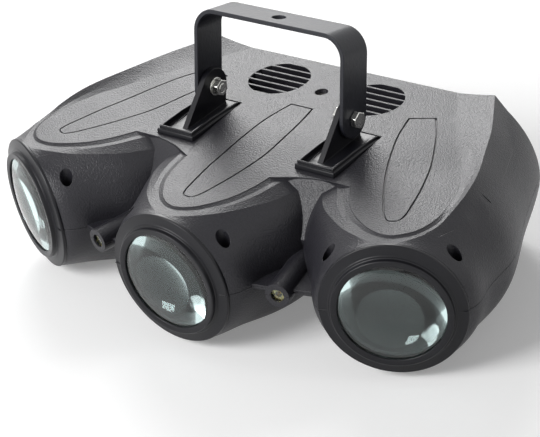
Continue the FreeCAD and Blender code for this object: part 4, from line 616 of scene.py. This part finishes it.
def shoe_section(share):
    """Points (x, z) across the shoe, from its left foot over both rails to its right foot."""
    top = blend_of(RAIL_TOP, share) * MM
    half = SHOE_HALF * blend_of(HALF_WIDTH, share)
    step = 1.3 * MM
    low = min(top - 2.1 * MM, 47.6 * MM)
    ridge = SHOE_FLOOR + 0.7 * MM * math.sin(math.pi * min(1.0, share * 1.02))
    ridge_x = half * (0.52 + 0.14 * math.sin(math.pi * share))
    half_side = (
        (half, SHOE_BASE), (half, low - 0.5 * MM), (half - 0.5 * MM, low), (half - step, low),
        (half - step - 0.1 * MM, top - 0.5 * MM), (half - step - 0.5 * MM, top),
        (half - step - RAIL_WIDTH + 0.4 * MM, top), (half - step - RAIL_WIDTH, top - 0.4 * MM),
        (half - step - RAIL_WIDTH - 0.3 * MM, SHOE_FLOOR),
        (ridge_x + 0.7 * MM, SHOE_FLOOR), (ridge_x, ridge), (ridge_x - 0.7 * MM, SHOE_FLOOR),
    )
    mirrored = tuple((-x, z) for x, z in reversed(half_side))
    return half_side + mirrored


def sweep(work, sections, stations):
    """Skin between cross sections, with both ends closed."""
    rows = [[work.verts.new((x, y, z)) for x, z in section]
            for section, y in zip(sections, stations)]
    for one, two in zip(rows, rows[1:]):
        for k in range(len(one)):
            work.faces.new((one[k], two[k], two[(k + 1) % len(one)], one[(k + 1) % len(one)]))
    work.faces.new(rows[0])
    work.faces.new(rows[-1][::-1])


def rounded_bar(work, half, y, deep, low, high):
    """A bar across the shoe with rounded long edges."""
    soft = min(deep, high - low) * 0.35
    outline = [(y, low), (y, high - soft), (y + soft * 0.3, high - soft * 0.3), (y + soft, high),
               (y + deep - soft, high), (y + deep, high - soft), (y + deep, low)]
    ends = []
    for x in (-half, half):
        ends.append([work.verts.new((x, b, z)) for b, z in outline])
    count = len(outline)
    for k in range(count):
        work.faces.new((ends[0][k], ends[0][(k + 1) % count], ends[1][(k + 1) % count], ends[1][k]))
    work.faces.new(ends[0][::-1])
    work.faces.new(ends[1])


print("shoe section has", len(shoe_section(0.5)), "points")


# %% The ear that holds the bolt
PIVOT_Y = 131.7 * MM
PIVOT_Z = 62.2 * MM
EAR_RADIUS = 12.2 * MM
EAR_FRONT = 97.0 * MM
EAR_BACK = 137.5 * MM
EAR_FOOT = 45.4 * MM
EAR_END = math.radians(-28)
EAR_X = (53.2 * MM, 57.2 * MM)
BOLT_HOLE = 3.2 * MM


def ear_outline(count=26):
    """Side view of the ear: a straight flange up to the round top, then down behind the bolt."""
    foot = Vector((EAR_FRONT, EAR_FOOT))
    pivot = Vector((PIVOT_Y, PIVOT_Z))
    reach = foot - pivot
    far = reach.length
    lean = (math.atan2(reach.y, reach.x) - math.acos(EAR_RADIUS / far)) % math.tau
    points = [tuple(foot)]
    for step in range(count + 1):
        angle = lean + (EAR_END - lean) * step / count
        points.append((pivot.x + EAR_RADIUS * math.cos(angle),
                       pivot.y + EAR_RADIUS * math.sin(angle)))
    points.append((EAR_BACK + 2 * MM, EAR_FOOT))
    return points


def skin_rows(work, rows):
    """Quads from each closed row of points to the next."""
    for one, two in zip(rows, rows[1:]):
        count = len(one)
        for k in range(count):
            work.faces.new((one[k], one[(k + 1) % count], two[(k + 1) % count], two[k]))


def ear_plate(work, inner, outer):
    """The ear as a plate with a round hole."""
    outline = ear_outline()
    hole = [(PIVOT_Y + BOLT_HOLE * math.cos(math.tau * k / 32),
             PIVOT_Z + BOLT_HOLE * math.sin(math.tau * k / 32)) for k in range(32)]
    sides = []
    for x in (inner, outer):
        loops = []
        edges = []
        for ring in (outline, hole):
            verts = [work.verts.new((x, y, z)) for y, z in ring]
            edges += [work.edges.new((verts[k], verts[(k + 1) % len(verts)]))
                      for k in range(len(verts))]
            loops.append(verts)
        bmesh.ops.triangle_fill(work, use_beauty=True, use_dissolve=False, edges=edges)
        sides.append(loops)
    for rings in zip(*sides):
        skin_rows(work, rings)


print("ear outline has", len(ear_outline()), "points")


# %% Both shoes
def shoe_mesh(side):
    work = bmesh.new()
    count = 28
    shares = [k / count for k in range(count + 1)]
    start = SHOE_FRONT + 1.2 * MM
    length = SHOE_LENGTH - 1.3 * MM
    sweep(work, [shoe_section(s) for s in shares], [start + length * s for s in shares])
    rounded_bar(work, SHOE_HALF - 0.15 * MM, SHOE_FRONT, 2.6 * MM, SHOE_BASE, 47.7 * MM)
    rounded_bar(work, SHOE_HALF - 1.25 * MM, SHOE_FRONT + 1.5 * MM, 1.9 * MM, 47.0 * MM, 49.75 * MM)
    bmesh.ops.translate(work, verts=work.verts, vec=(side * SHOE_X, 0, 0))
    inner, outer = EAR_X if side > 0 else (-EAR_X[1], -EAR_X[0])
    ear_plate(work, inner, outer)
    bmesh.ops.remove_doubles(work, verts=work.verts, dist=1e-7)
    bmesh.ops.recalc_face_normals(work, faces=work.faces)
    bmesh.ops.translate(work, verts=work.verts, vec=(0, RING_Y, AXIS_HEIGHT))
    return kept_mesh(work, "shoe")


for word, side in (("left", -1), ("right", 1)):
    shoe = stand_in("shoe_" + word, shoe_mesh(side), "bracket_shoe_" + word, sharp=32)
    round_off(shoe, 0.2 * MM, 32)
print("shoes swept: 2")

# %% [markdown]
# ## What repeats: a geometry tree
#
# Screws, fan blades and the filters of the pattern wheels are one shape many times. A Geometry
# Nodes tree puts a template on a ring of points or on a few given points, with its sizes as named
# inputs. Real instances are lost by the export, so the tree ends in Realize Instances and Set
# Material, and the result is turned into one plain mesh for each body.

# %% Trees that repeat a template
class Grower(Graph):
    """A geometry tree with named inputs."""

    family = "GeometryNode"

    def __init__(self, name, **inputs):
        super().__init__(bpy.data.node_groups.new(name, "GeometryNodeTree"))
        face = self.tree.interface
        face.new_socket("Geometry", in_out="INPUT", socket_type="NodeSocketGeometry")
        face.new_socket("Geometry", in_out="OUTPUT", socket_type="NodeSocketGeometry")
        self.names = {}
        for label, kind in inputs.items():
            made = face.new_socket(label, in_out="INPUT", socket_type="NodeSocket" + kind)
            self.names[label] = made.identifier
        self.start = self.tree.nodes.new("NodeGroupInput")
        self.end = self.tree.nodes.new("NodeGroupOutput")

    def given(self, label):
        return Signal(self.tree, self.start.outputs[label])

    def finish(self, geometry):
        real = self.add("RealizeInstances", Geometry=geometry)
        done = self.add("SetMaterial", Geometry=real, Material=self.given("Material"))
        join(self.tree, done, self.end.inputs["Geometry"])
        return self


def ring_tree():
    """Instances of a template on a circle round the Z axis, each turned with it."""
    tree = Grower("ring of copies", Template="Object", Count="Int", Radius="Float",
                  Material="Material")
    circle = tree.add("MeshCircle", Vertices=tree.given("Count"), Radius=tree.given("Radius"))
    place = tree.add("InputPosition")
    away = tree.add("FunctionNodeAlignRotationToVector", {"axis": "X"}, Vector=place)
    shape = tree.add("ObjectInfo", output="Geometry", Object=tree.given("Template"))
    copies = tree.add("InstanceOnPoints", Points=circle, Instance=shape, Rotation=away)
    return tree.finish(copies)


def spot_tree():
    """Instances of a template on the points of the mesh that carries the modifier."""
    tree = Grower("copies on points", Template="Object", Scale="Float", Material="Material")
    shape = tree.add("ObjectInfo", output="Geometry", Object=tree.given("Template"))
    copies = tree.add("InstanceOnPoints", Points=tree.given("Geometry"), Instance=shape,
                      Scale=tree.given("Scale"))
    return tree.finish(copies)


def grown_mesh(name, tree, points, template, **values):
    """Run a tree once and keep the plain mesh that it makes."""
    seed = bpy.data.meshes.new(name + "_points")
    seed.from_pydata(points, [], [])
    holder = bpy.data.objects.new(name + "_points", seed)
    pattern = bpy.data.objects.new(name + "_template", template)
    for thing in (holder, pattern):
        scene.collection.objects.link(thing)
    modifier = holder.modifiers.new("grow", "NODES")
    modifier.node_group = tree.tree
    for label, value in dict(values, Template=pattern).items():
        modifier[tree.names[label]] = value
    view = bpy.context.evaluated_depsgraph_get()
    mesh = bpy.data.meshes.new_from_object(holder.evaluated_get(view))
    for thing in (holder, pattern):
        bpy.data.objects.remove(thing)
    mesh.name = name
    return mesh


RING_TREE = ring_tree()
SPOT_TREE = spot_tree()
print("trees made:", RING_TREE.tree.name, "and", SPOT_TREE.tree.name)

# %% [markdown]
# ## Shell screws
#
# Six screws hold the shells together, deep in their counterbores. A screw is a pan head with a
# cross recess on a plain shank. It is drawn once: outline turned about its own axis, and a cross
# pressed into the head.

# %% Screws with a cross recess
def cross_points(arm, half):
    return [(arm, -half), (arm, half), (half, half), (half, arm), (-half, arm), (-half, half),
            (-arm, half), (-arm, -half), (-half, -half), (-half, -arm), (half, -arm), (half, -half)]


def screw_mesh(head, high, shank, length):
    """A pan head screw that points up, its seat at the origin."""
    work = bmesh.new()
    steps = 40
    rim = [(shank, -length), (shank, 0.0), (head, 0.0), (head, high * 0.55),
           (head * 0.94, high * 0.8), (head * 0.8, high)]
    turns = [math.tau * k / steps for k in range(steps)]
    rows = [[work.verts.new((r * math.cos(turn), r * math.sin(turn), z)) for turn in turns]
            for r, z in rim]
    skin_rows(work, rows)
    work.faces.new(rows[0][::-1])
    arm, half = head * 0.55, head * 0.13
    top = [work.verts.new((x, y, high)) for x, y in cross_points(arm, half)]
    floor = [work.verts.new((x * 0.8, y * 0.8, high * 0.35)) for x, y in cross_points(arm, half)]
    edges = [work.edges.get((rows[-1][k], rows[-1][(k + 1) % steps])) for k in range(steps)]
    edges += [work.edges.new((top[k], top[(k + 1) % 12])) for k in range(12)]
    bmesh.ops.triangle_fill(work, use_beauty=True, use_dissolve=False, edges=edges)
    for k in range(12):
        work.faces.new((top[k], top[(k + 1) % 12], floor[(k + 1) % 12], floor[k]))
    work.faces.new(floor)
    bmesh.ops.recalc_face_normals(work, faces=work.faces)
    return kept_mesh(work, "screw")


SCREW_SPOT = (37.7 * MM, 18.2 * MM, 14.0 * MM)
places = [tuple(head_matrix(turn) @ Vector((side * SCREW_SPOT[0], SCREW_SPOT[1], SCREW_SPOT[2])))
          for turn in (-1, 0, 1) for side in (-1, 1)]
screws = grown_mesh("housing_screws", SPOT_TREE, places,
                    screw_mesh(3.2 * MM, 2.2 * MM, 1.5 * MM, 24.0 * MM), Scale=1.0,
                    Material=BLACK_SCREW)
stand_in("housing_screws", screws, "shell_screws", sharp=30)
print("housing screws:", len(places))

# %% [markdown]
# ## Fan rotors
#
# Seven thin blades, each twisted along its length, stand round a hub. The blade is one small
# grid, and the ring tree turns it round the bearing. The rotor keeps the size of its solid, so it
# clears its frame as it spins.

# %% Rotors on their bearings
VENT_X = 38.6 * MM
VENT_Y = 180.5 * MM
LEDGE_HEIGHT = 44.0
WALL = 2.6
FAN_THICK = 10.0
SPOKE_THICK = 1.6
SEAT_GAP = 0.3
ROTOR_LOW = (LEDGE_HEIGHT - WALL - FAN_THICK + SPOKE_THICK + SEAT_GAP) * MM
HUB_RADIUS = 8.0 * MM
HUB_HEIGHT = 7.0 * MM
TIP_RADIUS = 18.2 * MM
PIN_BORE = 1.28 * MM
BLADES = 7


def blade_mesh():
    """A twisted blade with real thickness, drawn from the hub outwards along X."""
    work = bmesh.new()
    steps = 8
    thick = 0.45 * MM
    rows = []
    for k in range(steps + 1):
        share = k / steps
        reach = (HUB_RADIUS - 0.8 * MM) * (1 - share) + (TIP_RADIUS - 0.4 * MM) * share - HUB_RADIUS
        pitch = math.radians(52 - 22 * share)
        wide = (3.4 + 1.0 * math.sin(math.pi * share * 0.8)) * MM
        ring = []
        for across, lift in ((-1, -1), (-0.4, -1), (0.4, -1), (1, -1), (1, 1), (0.4, 1.5),
                             (-0.4, 1.5), (-1, 1)):
            a = across * wide / 1.3
            b = lift * thick + 0.5 * MM * (1 - across * across)
            ring.append(work.verts.new((reach, a * math.cos(pitch) - b * math.sin(pitch),
                                        (a * math.sin(pitch) + b * math.cos(pitch)) * 0.95)))
        rows.append(ring)
    skin_rows(work, rows)
    work.faces.new(rows[0][::-1])
    work.faces.new(rows[-1])
    bmesh.ops.recalc_face_normals(work, faces=work.faces)
    return kept_mesh(work, "blade")


def hub_mesh():
    """The hub cap with a bore for its pin from below."""
    half = HUB_HEIGHT / 2
    step = half - 0.4 * MM
    outline = [(0.0, half), (5.6 * MM, half), (6.0 * MM, step), (HUB_RADIUS - 0.6 * MM, step),
               (HUB_RADIUS, half - 1.0 * MM), (HUB_RADIUS, -half), (PIN_BORE, -half),
               (PIN_BORE, 0.0), (0.0, 0.0)]
    mesh = turned_mesh("hub", outline, 48)
    mesh.transform(Matrix.Rotation(math.radians(90), 4, "X"))
    return mesh


def joined_mesh(name, meshes):
    work = bmesh.new()
    for mesh in meshes:
        work.from_mesh(mesh)
    return kept_mesh(work, name)


for word, side in (("left", -1), ("right", 1)):
    blades = grown_mesh("blades_" + word, RING_TREE, [(0, 0, 0)], blade_mesh(), Count=BLADES,
                        Radius=HUB_RADIUS, Material=LINING)
    rotor = joined_mesh("rotor_" + word, [blades, hub_mesh()])
    rotor.transform(Matrix.Translation((side * VENT_X, RING_Y + VENT_Y,
                                        AXIS_HEIGHT + ROTOR_LOW + HUB_HEIGHT / 2)))
    stand_in("rotor_" + word, rotor, "fan_rotor_" + word, body="fan_" + word, sharp=40)
print("rotors made: 2")

# %% [markdown]
# ## Filters of the pattern wheels and screws of the rear panel
#
# Behind each lens a wheel carries seven colour filters, thin discs of coated glass that sit in the
# openings. They turn with their wheel, so each wheel gets its own mesh and body. The rear panel is
# held by four small screws of the same pattern as the housing's, only smaller.

# %% Colour filters on their wheels
FILTER_TINTS = ((0.75, 0.05, 0.04), (0.05, 0.55, 0.12), (0.04, 0.12, 0.75))
WHEEL_MIDDLE = 24.0 * MM
FILTER_RING = 23.92 * MM
FILTER_RADIUS = 6.7 * MM
FILTER_HALF = 0.5 * MM
WHEEL_DEPTH = 61.5 * MM
FILTERS = 7


def filter_glass(word, tint):
    finish = Finish("filter glass " + word, Roughness=0.06, IOR=1.5, Transmission_Weight=0.85)
    haze = finish.noise(120, 2.0, 0.5)
    finish.set(Base_Color=finish.mix(haze, tint, tuple(0.8 * v for v in tint)))
    return finish.material


def filter_mesh():
    outline = softened([(0.0, -FILTER_HALF), (FILTER_RADIUS, -FILTER_HALF),
                        (FILTER_RADIUS, FILTER_HALF), (0.0, FILTER_HALF)], 0.15 * MM)
    mesh = turned_mesh("filter", outline, 28)
    mesh.transform(Matrix.Rotation(math.radians(90), 4, "X"))
    return mesh


def add_piece(name, mesh, material, body=HOUSING, sharp=35):
    """A piece of its own that stands for no solid."""
    mesh.shade_smooth()
    mesh.set_sharp_from_angle(angle=math.radians(sharp))
    mesh.materials.clear()
    mesh.materials.append(material)
    made = bpy.data.objects.new(name, mesh)
    scene.collection.objects.link(made)
    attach(made, body)
    return made


for (word, turn), tint in zip(HEADS.items(), FILTER_TINTS):
    glass = filter_glass(word, tint)
    filters = grown_mesh("filters_" + word, RING_TREE, [(0, 0, 0)], filter_mesh(), Count=FILTERS,
                         Radius=FILTER_RING, Material=glass)
    filters.transform(Matrix.Rotation(math.pi, 4, "Z"))
    filters.transform(Matrix.Rotation(math.radians(90), 4, "X"))
    filters.transform(Matrix.Translation((WHEEL_MIDDLE, WHEEL_DEPTH, 0)))
    filters.transform(head_matrix(turn))
    add_piece("filters_" + word, filters, glass, "pattern_wheel_" + word)
print("filters on 3 wheels")

# %% Screws of the rear panel
PANEL_FACE = 102.5 * MM
panel_spots = [(x * MM, z * MM, 0.0) for x in (-87, 87) for z in (25, 77)]
panel_screws = grown_mesh("panel_screws", SPOT_TREE, panel_spots,
                          screw_mesh(3.0 * MM, 1.6 * MM, 1.3 * MM, 1.6 * MM), Scale=1.0,
                          Material=BLACK_SCREW)
panel_screws.transform(Matrix(((1, 0, 0, 0), (0, 0, 1, PANEL_FACE), (0, 1, 0, 0), (0, 0, 0, 1))))
panel_screws.flip_normals()
add_piece("panel_screws", panel_screws, BLACK_SCREW)
print("panel screws:", len(panel_spots))

# %% [markdown]
# ## Camera, floor and light
#
# The picture was taken with a long lens from the front, above and to one side. The camera's place
# was worked out from the three lens rings, the seam and the bracket. The floor is a large pale
# plane, and the light comes from big soft panels, because that is what shows in the satin roof: the
# largest stands behind and to the left, where a flat roof mirrors it to the camera.

# %% Camera
def matrix_from(right, up, back, spot):
    columns = [Vector(right), Vector(up), Vector(back), Vector(spot)]
    return Matrix([[columns[c][r] for c in range(4)] for r in range(3)] + [[0, 0, 0, 1]])


lens = bpy.data.cameras.new("camera")
lens.sensor_width = 36.0
lens.lens = 134.23
lens.clip_end = 50.0
camera = bpy.data.objects.new("camera", lens)
scene.collection.objects.link(camera)
camera.matrix_world = matrix_from(
    (0.7894, 0.5996, -0.1317), (-0.2214, 0.4781, 0.8499), (0.5726, -0.6418, 0.5102),
    (0.75939, -0.84903, 0.71493),
)
scene.camera = camera
print("camera at", [round(v, 3) for v in camera.location])


# %% Floor and world
FLOOR_SIDE = 6.0
FLOOR_GLOW = (0.22, 0.22, 0.22)
WORLD_LEVEL = 0.20


def seen_share(graph):
    """One for rays that come from the camera, a mirror or glass, and nothing for the others."""
    paths = [graph.add("LightPath", output=name)
             for name in ("Is Camera Ray", "Is Glossy Ray", "Is Transmission Ray")]
    return (paths[0] + paths[1] + paths[2]).clamp()


def pale_floor():
    """The floor adds a little white of its own for the eye, so that only the shadow is grey."""
    mesh = bpy.data.meshes.new("floor")
    side = FLOOR_SIDE
    mesh.from_pydata([(-side, -side, 0), (side, -side, 0), (side, side, 0), (-side, side, 0)], [],
                     [(0, 1, 2, 3)])
    floor = bpy.data.objects.new("floor", mesh)
    scene.collection.objects.link(floor)
    finish = Finish("pale floor", Base_Color=(0.86, 0.86, 0.86), Roughness=0.9)
    finish.set(Specular_IOR_Level=0.0, Emission_Strength=1.0)
    finish.set(Emission_Color=finish.mix(seen_share(finish), (0, 0, 0), FLOOR_GLOW))
    mesh.materials.append(finish.material)


def soft_world():
    """An even grey for the light, white for the eye."""
    world = bpy.data.worlds.new("studio")
    world.use_nodes = True
    graph = Graph(world.node_tree)
    background = world.node_tree.nodes["Background"]
    background.inputs["Color"].default_value = (1.0, 1.0, 1.0, 1.0)
    share = seen_share(graph)
    join(world.node_tree, WORLD_LEVEL + share * (1.0 - WORLD_LEVEL), background.inputs["Strength"])
    scene.world = world


pale_floor()
soft_world()
scene.view_settings.view_transform = "Standard"
print("floor and world made")


# %% Soft panels
AIM = (0, 0, 0.08)


def soft_panel(name, spot, width, height, power):
    light = bpy.data.lights.new(name, "AREA")
    light.shape = "RECTANGLE"
    light.size = width
    light.size_y = height
    light.energy = power
    panel = bpy.data.objects.new(name, light)
    scene.collection.objects.link(panel)
    panel.location = spot
    panel.rotation_mode = "QUATERNION"
    panel.rotation_quaternion = (Vector(AIM) - Vector(spot)).to_track_quat("-Z", "Y")


soft_panel("roof panel", (-0.95, 1.05, 0.95), 0.85, 0.85, 20.0)
soft_panel("front panel", (-0.45, -1.20, 0.95), 0.75, 0.65, 21.0)
soft_panel("right panel", (1.5, 0.3, 0.8), 0.3, 0.9, 1.6)
print("panels made")

# %% [markdown]
# ## Done
#

# %% Finish
print("scene dressed")
